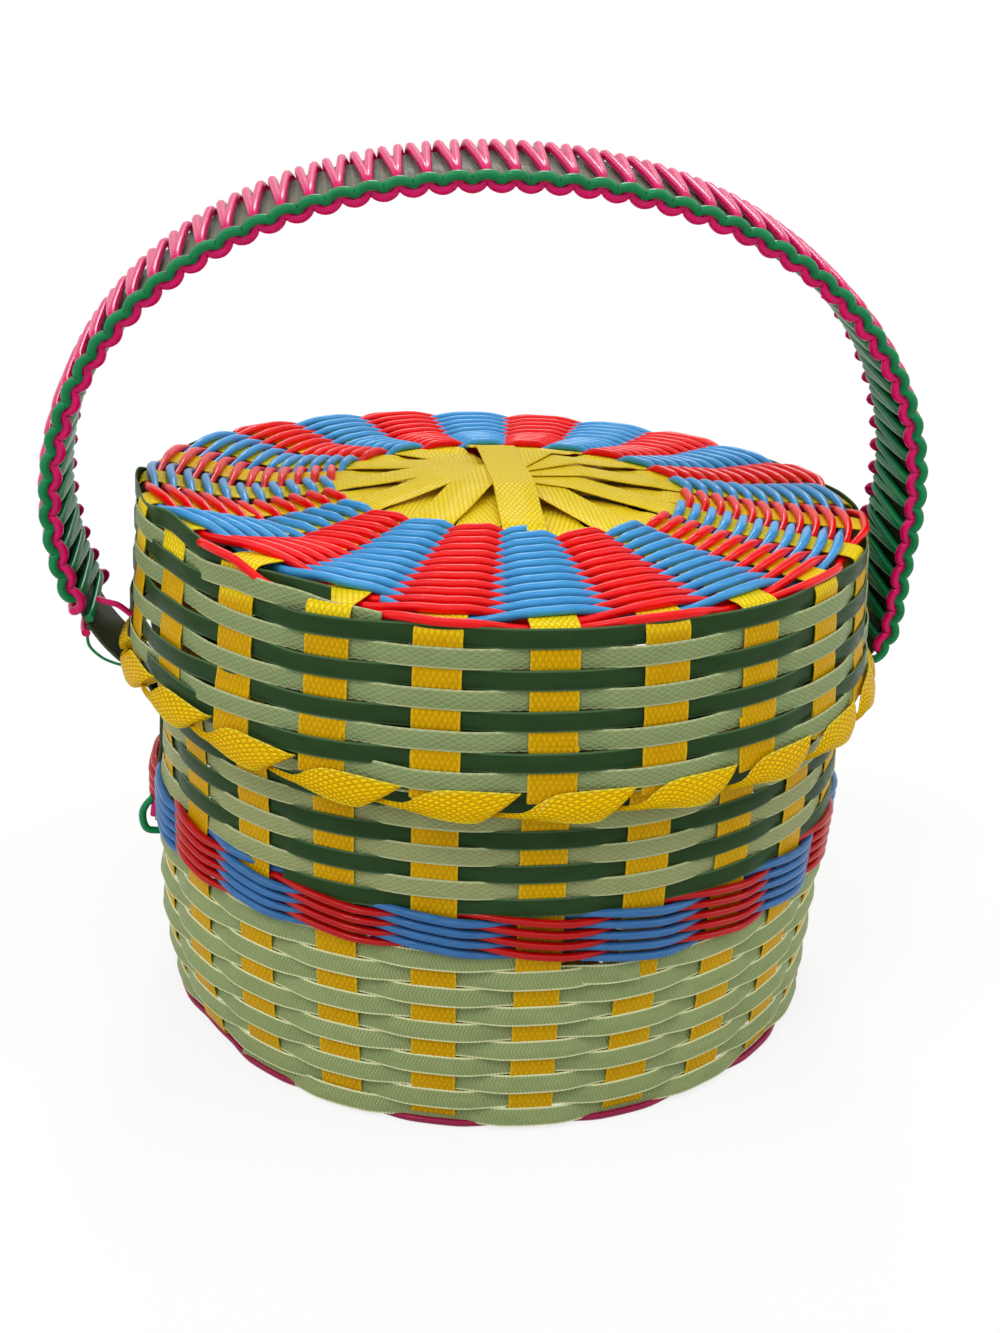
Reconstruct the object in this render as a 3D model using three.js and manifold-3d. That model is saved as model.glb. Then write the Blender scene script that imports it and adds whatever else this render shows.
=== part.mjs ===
// Lidded basket woven from plastic straps and tubes, with a laced hoop handle.
// Millimetres, +Z up. The origin is the centre of the footprint, on the surface the basket stands on.
// Stake places are numbered from the front, -Y, and run on over the left side, -X. Each stake strap
// crosses the whole basket, so it has one end at its own number and one at the place opposite.

import * as THREE from 'three';
import { mergeVertices } from 'three/addons/utils/BufferGeometryUtils.js';
import Module from 'manifold-3d';

// Straps and tubes
const stakeStraps = 12;
const stakeWidth = 14.5;
const strapThickness = 0.6;
const weaverWidth = 5.8;
const lowerWeaverWidth = 6.1;
const clearance = 0.3;

// Base
const baseRimHeight = 178;
const baseBandRadius = 135.3;
const footTaper = 4;
const rimTaper = 3.7;
const footBendHeight = 5.5;
const footBendRun = 10;
const floorThickness = 7.8;
const floorStarPitch = 0.9;
const lowerRowPitch = 6.8;
const upperRowPitch = 6.2;
const bandTop = 93.2;
const bandTopFall = 5.1;
const bandStartPlace = 3;
const bandBottom = 73.6;
const bandBottomFall = 6.2;
const bandDepth = 3.6;
const twistHollow = 1.7;
const footTubeRadius = 1.8;
const rimHoopHeight = 8;

// Lid
const lidTopRoom = 13.6;
const lidDomeHeight = 14.5;
const lidTaper = 4.9;
const lidOverlap = 44.8;
const lidWallRoom = 10.3;
const lidRowPitch = 6.2;
const lidTwiningHeight = 3.5;
const lidStarPitch = 0.9;
const starRadius = 64;
const lidSlopeWidth = 31;
const lidEdgeWidth = 6;
const edgeTubeRadius = 1.5;
const lashingWidth = 9;
const lashingDepth = 10.6;
const lashingHeight = 8.2;

// Handle
const handleWallRoom = 18.3;
const handleRise = 126.6;
const handleWaistAboveLid = 2.8;
const handleFootAboveRim = 5.4;
const handleFootInset = 9.8;
const handleSettle = 32;
const handleRoundness = 2.1;
const handleLeanDegrees = 7;
const handleSway = 5.3;
const coreWidth = 32;
const coreThickness = 1.2;
const coreTail = 0.6;
const lacingRadius = 1.3;
const lacingLoops = 52;
const lacingStartAboveRim = 19.8;

// Places worked out from the sizes above
const stakeCount = 2 * stakeStraps;
const stakeStep = (2 * Math.PI) / stakeCount;
const halfStrap = strapThickness / 2;
const layFaceToFace = strapThickness + clearance;
const floorPlane = floorThickness / 2;
const baseFootRadius = baseBandRadius - footTaper;
const baseRimRadius = baseBandRadius - rimTaper;
const lidTopHeight = baseRimHeight + lidTopRoom;
const lidRimHeight = baseRimHeight - lidOverlap;
const lidRimRadius = baseRimRadius + lidWallRoom;
const lidTopRadius = lidRimRadius - lidTaper;
const lidTwiningRadius = lidTopRadius - lidEdgeWidth;
const lidSlopeRadius = lidTwiningRadius - lidSlopeWidth;
const handleHalfWidth = lidRimRadius + handleWallRoom;
const handleWaistHeight = lidTopHeight + handleWaistAboveLid;
const handleTopHeight = handleWaistHeight + handleRise;
const handleFootHeight = lidRimHeight + handleFootAboveRim;
const handleLeanStart = lidRimHeight - handleSettle / 2;
const lacingStartHeight = lidRimHeight + lacingStartAboveRim;
const layOver = 2.75;
const layUnder = 1.3;
const rowFall = 2 / stakeCount;
const lowestFloorLayer = -(floorPlane - halfStrap) / floorStarPitch;
const lidStakeEnd = lidRimHeight + strapThickness + 3 * clearance;
const firstLidRow = lidTopHeight - layFaceToFace - weaverWidth / 2;
const lastLidRow = lidRimHeight + lashingHeight + clearance + strapThickness + weaverWidth / 2;

const wasm = await Module();
wasm.setup();

const colours = {
  yellow: [0xf0c814, 0.4],
  sage: [0xa5be8c, 0.45],
  darkGreen: [0x2f5038, 0.3],
  red: [0xe01e28, 0.25],
  blue: [0x4a90cf, 0.25],
  magenta: [0xd81b72, 0.25],
  brightGreen: [0x0f8c50, 0.25],
  olive: [0x2b3326, 0.45],
};

const basket = new THREE.Group();
const base = new THREE.Group();
const lid = new THREE.Group();
basket.add(base, lid);

function addPiece(parent, name, geometry, colour) {
  const [color, roughness] = colours[colour];
  geometry.computeVertexNormals();
  const mesh = new THREE.Mesh(geometry, new THREE.MeshStandardMaterial({ color, roughness, metalness: 0 }));
  mesh.name = name;
  parent.add(mesh);
}

// Closed body through a row of sections, each a ring of corner points; a loop joins its two ends
function loft(sections, loop = false) {
  const corners = sections[0].length;
  const rows = sections.length;
  const points = sections.flat();
  const faces = [];
  const lastRow = loop ? rows : rows - 1;
  for (let row = 0; row < lastRow; row += 1) {
    const here = row * corners;
    const next = ((row + 1) % rows) * corners;
    for (let c = 0; c < corners; c += 1) {
      const d = (c + 1) % corners;
      faces.push([here + c, here + d, next + d], [here + c, next + d, next + c]);
    }
  }
  if (!loop) {
    const end = (rows - 1) * corners;
    for (let c = 1; c < corners - 1; c += 1) {
      faces.push([0, c + 1, c], [end, end + c, end + c + 1]);
    }
  }
  let volume = 0;
  const cross = new THREE.Vector3();
  for (const [a, b, c] of faces) {
    volume += points[a].dot(cross.crossVectors(points[b], points[c]));
  }
  const facing = volume > 0 ? faces : faces.map(([a, b, c]) => [a, c, b]);
  const geometry = new THREE.BufferGeometry();
  geometry.setAttribute('position', new THREE.Float32BufferAttribute(points.flatMap((p) => p.toArray()), 3));
  geometry.setIndex(facing.flat());
  return geometry;
}

function toSolid(geometry) {
  const merged = mergeVertices(geometry);
  return new wasm.Manifold(new wasm.Mesh({
    numProp: 3,
    vertProperties: new Float32Array(merged.attributes.position.array),
    triVerts: new Uint32Array(merged.index.array),
  }));
}

function cutFrom(geometry, tools) {
  let solid = toSolid(geometry);
  for (const tool of tools) {
    solid = solid.subtract(toSolid(tool));
  }
  const mesh = solid.getMesh();
  const result = new THREE.BufferGeometry();
  result.setAttribute('position', new THREE.Float32BufferAttribute(mesh.vertProperties, 3));
  result.setIndex(Array.from(mesh.triVerts));
  return result;
}

function stakeAngle(place) {
  return -Math.PI / 2 - place * stakeStep;
}

function around(place, radius, z) {
  const angle = stakeAngle(place);
  return new THREE.Vector3(radius * Math.cos(angle), radius * Math.sin(angle), z);
}

// Radius halfway between two stakes of a hoop that runs flat across each stake
function gapRadius(radiusAtStake) {
  return radiusAtStake / Math.cos(stakeStep / 2);
}

function isEven(place) {
  return Math.abs(place) % 2 === 0;
}

function mix(low, high, share) {
  return low + (high - low) * share;
}

function smooth(share) {
  const s = Math.min(Math.max(share, 0), 1);
  return s * s * (3 - 2 * s);
}

// Upright section of a strap that runs round the basket
function uprightSection(place, radius, z, width, thickness) {
  return [
    around(place, radius - thickness / 2, z - width / 2),
    around(place, radius + thickness / 2, z - width / 2),
    around(place, radius + thickness / 2, z + width / 2),
    around(place, radius - thickness / 2, z + width / 2),
  ];
}

// Strap that follows a path of [distance from the axis, height] points in the upright plane of a stake
function strapAlong(path, place, width, thickness) {
  const angle = stakeAngle(place);
  const out = new THREE.Vector3(Math.cos(angle), Math.sin(angle), 0);
  const side = new THREE.Vector3(-Math.sin(angle), Math.cos(angle), 0);
  const sections = path.map(([distance, height], i) => {
    const [d0, h0] = path[Math.max(i - 1, 0)];
    const [d1, h1] = path[Math.min(i + 1, path.length - 1)];
    const length = Math.hypot(d1 - d0, h1 - h0);
    const normal = out.clone().multiplyScalar(-(h1 - h0) / length);
    normal.z = (d1 - d0) / length;
    const centre = out.clone().multiplyScalar(distance);
    centre.z = height;
    return [[-1, -1], [1, -1], [1, 1], [-1, 1]].map(([u, v]) => centre.clone()
      .addScaledVector(side, (u * width) / 2)
      .addScaledVector(normal, (v * thickness) / 2));
  });
  return loft(sections);
}

// The straps of a star lie on each other in an order that keeps neighbours five or more layers apart
function starLayer(strap) {
  const half = stakeStraps / 2;
  const rank = isEven(strap) ? strap / 2 : half + (strap - 1) / 2;
  return stakeStraps - 1 - rank;
}

// Share of its layer height that a strap keeps at a distance from the centre of the star
function starSpread(distance) {
  const kept = 0.35;
  const between = (secondNeighbours + 2 * firstNeighbours) / 3;
  if (distance <= secondNeighbours) return 1;
  if (distance <= between) return mix(1, kept, (distance - secondNeighbours) / (between - secondNeighbours));
  if (distance <= firstNeighbours) return kept;
  return Math.max(0, kept * (1 - (distance - firstNeighbours) / (starRadius - 1 - firstNeighbours)));
}

function starStations() {
  return [secondNeighbours, (secondNeighbours + 2 * firstNeighbours) / 3, firstNeighbours, starRadius - 1];
}

// Walls: radius of the stakes' middle plane at a height
function baseWallRadius(z) {
  if (z <= bandTop) {
    return mix(baseFootRadius, baseBandRadius, (z - footBendHeight) / (bandTop - footBendHeight));
  }
  const share = (z - bandTop) / (baseRimHeight - bandTop);
  return mix(baseBandRadius, baseRimRadius, share * share);
}

// The band's rows wind down too: its top falls from where they start, and its bottom to where they end
function bandTopAt(place) {
  const turned = (place - bandStartPlace + 2 * stakeCount) % stakeCount;
  return bandTop - (bandTopFall * turned) / stakeCount;
}

function bandBottomAt(place) {
  return bandBottom - (bandBottomFall * ((place + stakeCount) % stakeCount)) / stakeCount;
}

function lidWallRadius(z) {
  return mix(lidTopRadius, lidRimRadius, (lidTopHeight - z) / (lidTopHeight - lidRimHeight));
}

// Distance from the centre at which straps two places apart, and those one place apart, stop crossing
const secondNeighbours = stakeWidth / 2 / Math.sin(stakeStep);
const firstNeighbours = stakeWidth / 2 / Math.sin(stakeStep / 2);

// Height of the lid's stakes over its slightly domed top, which is level where all the straps cross
function lidPlane(radius) {
  const share = Math.max(radius, secondNeighbours) / lidTwiningRadius;
  return lidTopHeight + lidDomeHeight * (1 - share ** 1.2);
}

// The lid's rows wind down from one start, so its edge stands higher there and falls away round the lid
function lidEdgeRise(place) {
  const wrapped = ((place % stakeCount) + stakeCount) % stakeCount;
  const extraRows = Math.max(0, Math.min(2, Math.floor(wrapped) - 1));
  return lidRowPitch * (extraRows - rowFall * wrapped);
}

// Bend of a base stake from the floor up into the wall
function footBend(share) {
  const start = [baseFootRadius - footBendRun, floorPlane];
  const corner = [baseFootRadius - 0.5, floorPlane];
  const end = [baseFootRadius, footBendHeight];
  return [0, 1].map((k) => (1 - share) ** 2 * start[k] + 2 * share * (1 - share) * corner[k] + share ** 2 * end[k]);
}

function baseHalfPath(layer) {
  const rise = (lowestFloorLayer + layer) * floorStarPitch;
  const star = starStations().map((d) => [d, floorPlane + rise * starSpread(d)]);
  const bend = [0, 0.35, 0.7, 1].map(footBend);
  const top = baseRimHeight - halfStrap - clearance - strapThickness;
  const wall = [bandTop, mix(bandTop, top, 0.5), top].map((z) => [baseWallRadius(z), z]);
  return [...star, ...bend, ...wall];
}

function lidHalfPath(place, layer) {
  const edge = lidTopHeight + lidEdgeRise(place);
  const star = starStations().map((d) => [d, lidPlane(d) + (layer - 5.5) * lidStarPitch * starSpread(d)]);
  const corner = lidWallRadius(edge);
  const top = [[lidSlopeRadius, lidPlane(lidSlopeRadius)], [lidTwiningRadius, edge], [corner - 1, edge], [corner, edge - 1]];
  return [...star, ...top, [lidWallRadius(lidStakeEnd), lidStakeEnd]];
}

function wholePath(nearHalf, farHalf, centreHeight) {
  const far = farHalf.map(([d, h]) => [-d, h]).reverse();
  return [...far, [0, centreHeight], ...nearHalf];
}

function baseStakePath(strap) {
  const layer = starLayer(strap);
  const half = baseHalfPath(layer);
  return wholePath(half, half, floorPlane + (lowestFloorLayer + layer) * floorStarPitch);
}

function lidStakePath(strap) {
  const layer = starLayer(strap);
  const centre = lidPlane(0) + (layer - 5.5) * lidStarPitch;
  return wholePath(lidHalfPath(strap, layer), lidHalfPath(strap + stakeStraps, layer), centre);
}

// Strap wound round a wall in a falling spiral, outside the stakes of one parity and inside the others
function weaver({ firstPlace, lastPlace, frontHeight, pitch, width, overEven, wallRadius }) {
  const sections = [];
  for (let place = firstPlace; place <= lastPlace; place += 1) {
    const z = frontHeight - pitch * rowFall * place;
    const over = isEven(place) === overEven;
    const radius = wallRadius(z) + (over ? layOver : -layUnder);
    sections.push(uprightSection(place, radius, z, width, strapThickness));
  }
  return loft(sections);
}

// Number of stake places that a spiral passes while it falls between two heights
function placesBetween(top, bottom, pitch) {
  return Math.floor((top - bottom) / (pitch * rowFall));
}

// Last place that a spiral reaches before it comes down on the band
function lastPlaceOverBand(frontHeight, pitch, width) {
  let place = 0;
  while (frontHeight - pitch * rowFall * (place + 1) - width / 2 >= bandTopAt(place + 1) + clearance) place += 1;
  return place;
}

// Room that a stake and its clearance take out of a twined piece
function tunnels(paths) {
  const room = 2 * clearance;
  return paths.map(([path, place]) => strapAlong(path, place, stakeWidth + room, strapThickness + room));
}

// Ring of twined tubes, given by its section at every stake and every gap
function twinedRing(sectionAt) {
  const sections = [];
  for (let step = 0; step < 2 * stakeCount; step += 1) {
    const place = step / 2;
    sections.push(sectionAt(place, Number.isInteger(place)).map(([radius, z]) => around(place, radius, z)));
  }
  return loft(sections, true);
}

function floorTwining() {
  const outer = baseFootRadius - footBendRun - 1;
  const ring = twinedRing((place, atStake) => {
    const low = atStake ? 0 : twistHollow;
    const high = floorThickness - low;
    return [[starRadius, low], [outer, low], [outer, high], [starRadius, high]];
  });
  const path = [[starRadius - 3, floorPlane], [outer + 3, floorPlane]];
  const places = Array.from({ length: stakeCount }, (_, i) => [path, i]);
  return cutFrom(ring, tunnels(places));
}

function lidTwining() {
  const outer = lidTwiningRadius;
  const ring = twinedRing((place, atStake) => {
    const lobe = atStake ? lidTwiningHeight : lidTwiningHeight - twistHollow;
    const inner = lidPlane(starRadius);
    const slope = lidPlane(lidSlopeRadius);
    const edge = lidTopHeight + (atStake ? lidEdgeRise(place) : (lidEdgeRise(place - 0.5) + lidEdgeRise(place + 0.5)) / 2);
    return [
      [starRadius, inner - lobe], [lidSlopeRadius, slope - lobe], [outer, edge - lobe], [outer, edge + lobe - 1],
      [outer - 4, edge + lobe], [lidSlopeRadius, slope + lobe], [starRadius, inner + lobe - 1],
    ];
  });
  const places = Array.from({ length: stakeCount }, (_, i) => {
    const path = lidHalfPath(i, 5.5).slice(3, 6);
    return [[...path, [lidTopRadius, path[2][1]]], i];
  });
  return cutFrom(ring, tunnels(places));
}

function handleWallOffset() {
  return layOver + halfStrap + clearance + coreThickness / 2;
}

function bandTwining() {
  const legRadius = baseBandRadius + handleWallOffset() + coreThickness / 2 + clearance + 3;
  const leg = stakeCount / 4;
  const ring = twinedRing((place, atStake) => {
    const fromLeg = Math.min(Math.abs(place - leg), Math.abs(place - 3 * leg));
    const lobe = atStake ? bandDepth : bandDepth - twistHollow;
    const outer = (z) => (fromLeg <= 0.5 ? legRadius : baseWallRadius(z) + lobe);
    const inner = (z) => baseWallRadius(z) - lobe;
    const bottom = bandBottomAt(place);
    const top = bandTopAt(place);
    return [
      [inner(bottom), bottom], [outer(bottom) - 1, bottom], [outer(bottom + 2), bottom + 2],
      [outer(top - 2), top - 2], [outer(top) - 1, top], [inner(top), top],
    ];
  });
  const low = bandBottom - bandBottomFall - 3;
  const high = bandTop + 3;
  const path = [[baseWallRadius(low), low], [baseWallRadius(bandTop), bandTop], [baseWallRadius(bandTop), high]];
  const places = Array.from({ length: stakeCount }, (_, i) => [path, i]);
  const legs = [-1, 1].map((side) => {
    const sections = [low, high].map((z) => legSection(side, z, coreWidth + 2 * clearance, coreThickness + 2 * clearance));
    return loft(sections);
  });
  return cutFrom(ring, [...tunnels(places), ...legs]);
}

function legSection(side, z, width, thickness) {
  const x = side * (baseBandRadius + handleWallOffset());
  return [[-1, -1], [1, -1], [1, 1], [-1, 1]].map(([u, v]) => new THREE.Vector3(
    x + (u * thickness) / 2,
    (v * width) / 2,
    z,
  ));
}

// Square-set tube through a list of points
function tubeThrough(points, radius, loop = false) {
  const count = points.length;
  const at = (i) => (loop ? points[(i + count) % count] : points[Math.min(Math.max(i, 0), count - 1)]);
  let normal = null;
  const sections = points.map((point, i) => {
    const tangent = at(i + 1).clone().sub(at(i - 1)).normalize();
    if (normal === null) normal = new THREE.Vector3(0, 0, 1);
    if (loop) normal = new THREE.Vector3(0, 0, 1);
    normal.addScaledVector(tangent, -normal.dot(tangent)).normalize();
    const side = new THREE.Vector3().crossVectors(tangent, normal);
    return [[1, 0], [0, 1], [-1, 0], [0, -1]].map(([u, v]) => point.clone()
      .addScaledVector(normal, u * radius)
      .addScaledVector(side, v * radius));
  });
  return loft(sections, loop);
}

// Tube that passes outside the odd stakes and inside the even ones; it lies flat along each strap's width
function wovenTube({ firstPlace, lastPlace, sideOf, halfStrapPlaces, radius, loop = false }) {
  const points = [];
  for (let place = firstPlace; place <= lastPlace; place += 1) {
    for (const shift of [-halfStrapPlaces, halfStrapPlaces]) {
      const [r, z] = sideOf(place, isEven(place) ? -1 : 1);
      points.push(around(place + shift, r / Math.cos(shift * stakeStep), z));
    }
  }
  return tubeThrough(points, radius, loop);
}

// It passes under the foot of the odd stakes and over the floor inside the even ones
function footTube() {
  const outside = [baseFootRadius + 1.8, footTubeRadius + 0.1];
  const inside = [baseFootRadius - 4, floorPlane + halfStrap + clearance + footTubeRadius + 0.4];
  return wovenTube({
    firstPlace: 0,
    lastPlace: stakeCount - 1,
    sideOf: (place, side) => (side > 0 ? outside : inside),
    halfStrapPlaces: stakeWidth / 2 / baseFootRadius / stakeStep,
    radius: footTubeRadius,
    loop: true,
  });
}

function lidEdgeTube() {
  const r = lidTwiningRadius + 2 * clearance + edgeTubeRadius;
  const lay = halfStrap + clearance + edgeTubeRadius;
  return wovenTube({
    firstPlace: 5,
    lastPlace: stakeCount + 1,
    sideOf: (place, side) => [r, lidTopHeight + lidEdgeRise(place) + side * lay],
    halfStrapPlaces: stakeWidth / 2 / r / stakeStep,
    radius: edgeTubeRadius,
  });
}

// Strap wound slantwise round the lid's rim, once between each two stakes
function lidLashing() {
  const stepsPerTurn = 6;
  const centreRadius = lidRimRadius + 0.1;
  const centreHeight = lidRimHeight + lashingHeight / 2;
  const sections = [];
  for (let step = 0; step < stakeCount * stepsPerTurn; step += 1) {
    const turn = step / stepsPerTurn;
    const phase = 2 * Math.PI * turn + Math.PI / 2;
    const place = -turn + 0.5;
    const u = Math.cos(phase);
    const v = Math.sin(phase);
    const radius = centreRadius + (u * lashingDepth) / 2;
    const z = centreHeight + (v * lashingHeight) / 2;
    const half = lashingWidth / 2 / centreRadius / stakeStep;
    const skin = strapThickness;
    sections.push([
      around(place - half, radius, z),
      around(place + half, radius, z),
      around(place + half, radius - u * skin, z - v * skin),
      around(place - half, radius - u * skin, z - v * skin),
    ]);
  }
  return loft(sections, true);
}

// Hoop that lies flat against each stake, given by the distances of its section from the stakes' middle plane
function hoop(profile, wallRadius) {
  const sections = [];
  for (let step = 0; step < stakeCount; step += 1) {
    sections.push(profile.map(([d, z]) => around(step + 0.5, gapRadius(wallRadius(z) + d), z)));
  }
  return loft(sections, true);
}

// Flat hoop inside the lower ends of the lid's stakes, held to them by the lashing
function lidRimHoop() {
  const outer = -halfStrap - clearance;
  const inner = outer - strapThickness;
  const margin = 2.5;
  const bottom = lidRimHeight + margin;
  const top = lidRimHeight + lashingHeight - margin;
  return hoop([[inner, bottom], [outer, bottom], [outer, top], [inner, top]], lidWallRadius);
}

// Strap folded over the rim of the base
function rimHoop() {
  const gap = halfStrap + clearance;
  const skin = strapThickness;
  const top = baseRimHeight;
  const bottom = top - rimHoopHeight;
  const profile = [
    [-gap - skin, bottom], [-gap, bottom], [-gap, top - skin], [gap, top - skin],
    [gap, bottom], [gap + skin, bottom], [gap + skin, top], [-gap - skin, top],
  ];
  return hoop(profile, baseWallRadius);
}

// Upright outline of the handle's strap, before it leans: half width at a height below the waist
function legHalfWidth(z) {
  const wallX = baseBandRadius + handleWallOffset();
  const sweep = (handleWaistHeight - z) / (handleWaistHeight - handleFootHeight);
  const hoop = handleHalfWidth - handleFootInset * sweep * sweep;
  if (z >= lidRimHeight) return hoop;
  return mix(wallX, legHalfWidth(lidRimHeight), smooth((z - lidRimHeight + handleSettle) / handleSettle));
}

function handleCurve() {
  const tailEnd = bandBottom - bandBottomFall - coreTail;
  const lower = [[legHalfWidth(tailEnd), tailEnd]];
  const settleSteps = 6;
  for (let k = 0; k <= settleSteps; k += 1) {
    const z = lidRimHeight - handleSettle * (1 - k / settleSteps);
    lower.push([legHalfWidth(z), z]);
  }
  const legSteps = 5;
  for (let k = 1; k < legSteps; k += 1) {
    const z = mix(lidRimHeight, handleWaistHeight, k / legSteps);
    lower.push([legHalfWidth(z), z]);
  }
  const upper = [];
  const arcSteps = 12;
  const rise = handleTopHeight - handleWaistHeight;
  for (let k = 0; k < arcSteps; k += 1) {
    const angle = (k / arcSteps) * (Math.PI / 2);
    const power = 2 / handleRoundness;
    upper.push([handleHalfWidth * Math.cos(angle) ** power, handleWaistHeight + rise * Math.sin(angle) ** power]);
  }
  const right = [...lower, ...upper];
  const left = right.map(([x, z]) => [-x, z]);
  return [...left, [0, handleTopHeight], ...right.reverse()];
}

// The hoop leans forward and to the left of the line where its legs leave the wall
function leaned(x, y, z) {
  const lean = THREE.MathUtils.degToRad(handleLeanDegrees) * smooth((z - handleLeanStart) / handleSettle);
  const up = z - handleFootHeight;
  return new THREE.Vector3(
    x - handleSway * smooth(up / (handleWaistHeight - handleFootHeight)),
    y * Math.cos(lean) - up * Math.sin(lean),
    handleFootHeight + up * Math.cos(lean) + y * Math.sin(lean),
  );
}

// Place and outward direction at a distance along the hoop, in its own upright plane
function hoopFrames(curve) {
  const lengths = [0];
  for (let i = 1; i < curve.length; i += 1) {
    lengths.push(lengths[i - 1] + Math.hypot(curve[i][0] - curve[i - 1][0], curve[i][1] - curve[i - 1][1]));
  }
  return (distance) => {
    let i = 1;
    while (i < curve.length - 1 && lengths[i] < distance) i += 1;
    const share = (distance - lengths[i - 1]) / (lengths[i] - lengths[i - 1]);
    const [x0, z0] = curve[i - 1];
    const [x1, z1] = curve[i];
    const span = Math.hypot(x1 - x0, z1 - z0);
    return { x: mix(x0, x1, share), z: mix(z0, z1, share), nx: -(z1 - z0) / span, nz: (x1 - x0) / span };
  };
}

function handleCore() {
  const curve = handleCurve();
  const sections = curve.map(([x, z], i) => {
    const [x0, z0] = curve[Math.max(i - 1, 0)];
    const [x1, z1] = curve[Math.min(i + 1, curve.length - 1)];
    const span = Math.hypot(x1 - x0, z1 - z0);
    const nx = -(z1 - z0) / span;
    const nz = (x1 - x0) / span;
    return [[-1, -1], [1, -1], [1, 1], [-1, 1]].map(([u, v]) => leaned(
      x + (nx * v * coreThickness) / 2,
      (u * coreWidth) / 2,
      z + (nz * v * coreThickness) / 2,
    ));
  });
  return loft(sections);
}

// Tube laced to and fro over one face of the handle's strap, round each edge in turn.
// Outward is 1 for the lacing on the outer face and -1 for the one on the inner face.
function lacing(outward, shift) {
  const curve = handleCurve();
  const at = hoopFrames(curve);
  let total = 0;
  let start = 0;
  for (let i = 1; i < curve.length; i += 1) {
    total += Math.hypot(curve[i][0] - curve[i - 1][0], curve[i][1] - curve[i - 1][1]);
    if (i < curve.length / 2 && curve[i][1] <= lacingStartHeight) start = total;
  }
  const pitch = (total - 2 * start) / (lacingLoops + 0.5);
  const face = coreThickness / 2 + clearance + lacingRadius;
  const edge = coreWidth / 2 + clearance + lacingRadius;
  const bow = edge + 2.6;
  const loop = [
    [-0.04, -edge, face], [0.14, edge, face], [0.22, bow, -face / 2], [0.38, bow, -face / 2],
    [0.46, edge, face], [0.64, -edge, face], [0.72, -bow, -face / 2], [0.88, -bow, -face / 2],
  ];
  const points = [];
  for (let turn = 0; turn < lacingLoops; turn += 1) {
    for (const [share, across, out] of loop) {
      const { x, z, nx, nz } = at(start + pitch * (turn + share + shift));
      const n = out * outward;
      points.push(leaned(x + nx * n, across, z + nz * n));
    }
  }
  return tubeThrough(points, lacingRadius);
}

// Base
for (let strap = 0; strap < stakeStraps; strap += 1) {
  const name = `base_stake_${String(strap + 1).padStart(2, '0')}`;
  addPiece(base, name, strapAlong(baseStakePath(strap), strap, stakeWidth, strapThickness), 'yellow');
}
addPiece(base, 'floor_twining', floorTwining(), 'blue');
addPiece(base, 'foot_tube', footTube(), 'magenta');

const lowerTop = bandBottom - clearance - lowerWeaverWidth / 2;
const lowerBottom = footBendHeight + clearance + lowerWeaverWidth / 2;
const lowerPlaces = placesBetween(lowerTop, lowerBottom, lowerRowPitch);
const lowerStrap = { pitch: lowerRowPitch, width: lowerWeaverWidth, wallRadius: baseWallRadius };
addPiece(base, 'lower_weaver_a', weaver({
  ...lowerStrap, firstPlace: 0, lastPlace: lowerPlaces, frontHeight: lowerTop, overEven: false,
}), 'sage');
addPiece(base, 'lower_weaver_b', weaver({
  ...lowerStrap, firstPlace: -1, lastPlace: lowerPlaces - stakeStraps, frontHeight: lowerTop - lowerRowPitch, overEven: true,
}), 'sage');
addPiece(base, 'band_twining', bandTwining(), 'red');

const upperTop = baseRimHeight - rimHoopHeight - clearance - weaverWidth / 2;
const upperStrap = { pitch: upperRowPitch, width: weaverWidth, wallRadius: baseWallRadius, firstPlace: 0 };
for (const [name, row, overEven, colour] of [
  ['upper_dark_weaver', upperTop, true, 'darkGreen'],
  ['upper_light_weaver', upperTop - upperRowPitch, false, 'sage'],
]) {
  const lastPlace = lastPlaceOverBand(row, upperRowPitch, weaverWidth);
  addPiece(base, name, weaver({ ...upperStrap, lastPlace, frontHeight: row, overEven }), colour);
}
addPiece(base, 'base_rim_hoop', rimHoop(), 'yellow');

// Handle, held under the band's tubes at both legs
addPiece(base, 'handle_core', handleCore(), 'olive');
addPiece(base, 'handle_outer_lacing', lacing(1, 0), 'magenta');
addPiece(base, 'handle_inner_lacing', lacing(-1, 0.5), 'brightGreen');

// Lid
for (let strap = 0; strap < stakeStraps; strap += 1) {
  const name = `lid_stake_${String(strap + 1).padStart(2, '0')}`;
  addPiece(lid, name, strapAlong(lidStakePath(strap), strap, stakeWidth, strapThickness), 'yellow');
}
addPiece(lid, 'lid_twining', lidTwining(), 'blue');
addPiece(lid, 'lid_edge_tube', lidEdgeTube(), 'red');

const lidFront = firstLidRow + lidRowPitch * rowFall * stakeCount;
const lidStrap = { pitch: lidRowPitch, width: weaverWidth, wallRadius: lidWallRadius };
const lidPlaces = placesBetween(lidFront, lastLidRow, lidRowPitch);
addPiece(lid, 'lid_dark_weaver', weaver({
  ...lidStrap, firstPlace: 3, lastPlace: lidPlaces, frontHeight: lidFront, overEven: true,
}), 'darkGreen');
addPiece(lid, 'lid_light_weaver', weaver({
  ...lidStrap, firstPlace: 2, lastPlace: lidPlaces - stakeStraps, frontHeight: lidFront - lidRowPitch, overEven: false,
}), 'sage');
addPiece(lid, 'lid_rim_hoop', lidRimHoop(), 'darkGreen');
addPiece(lid, 'lid_lashing', lidLashing(), 'yellow');

export default basket;
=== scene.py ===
"""Lidded basket woven from plastic straps and tubes, with a laced hoop handle.

Lengths are in millimetres up to add_mesh, which turns them into metres. The origin is the centre of the
footprint, on the surface that the basket stands on. Stake places are numbered from the front, -Y, and run
on over the left side, -X.
"""

import math

import bpy
import numpy as np
from mathutils import Matrix, Vector


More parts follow.
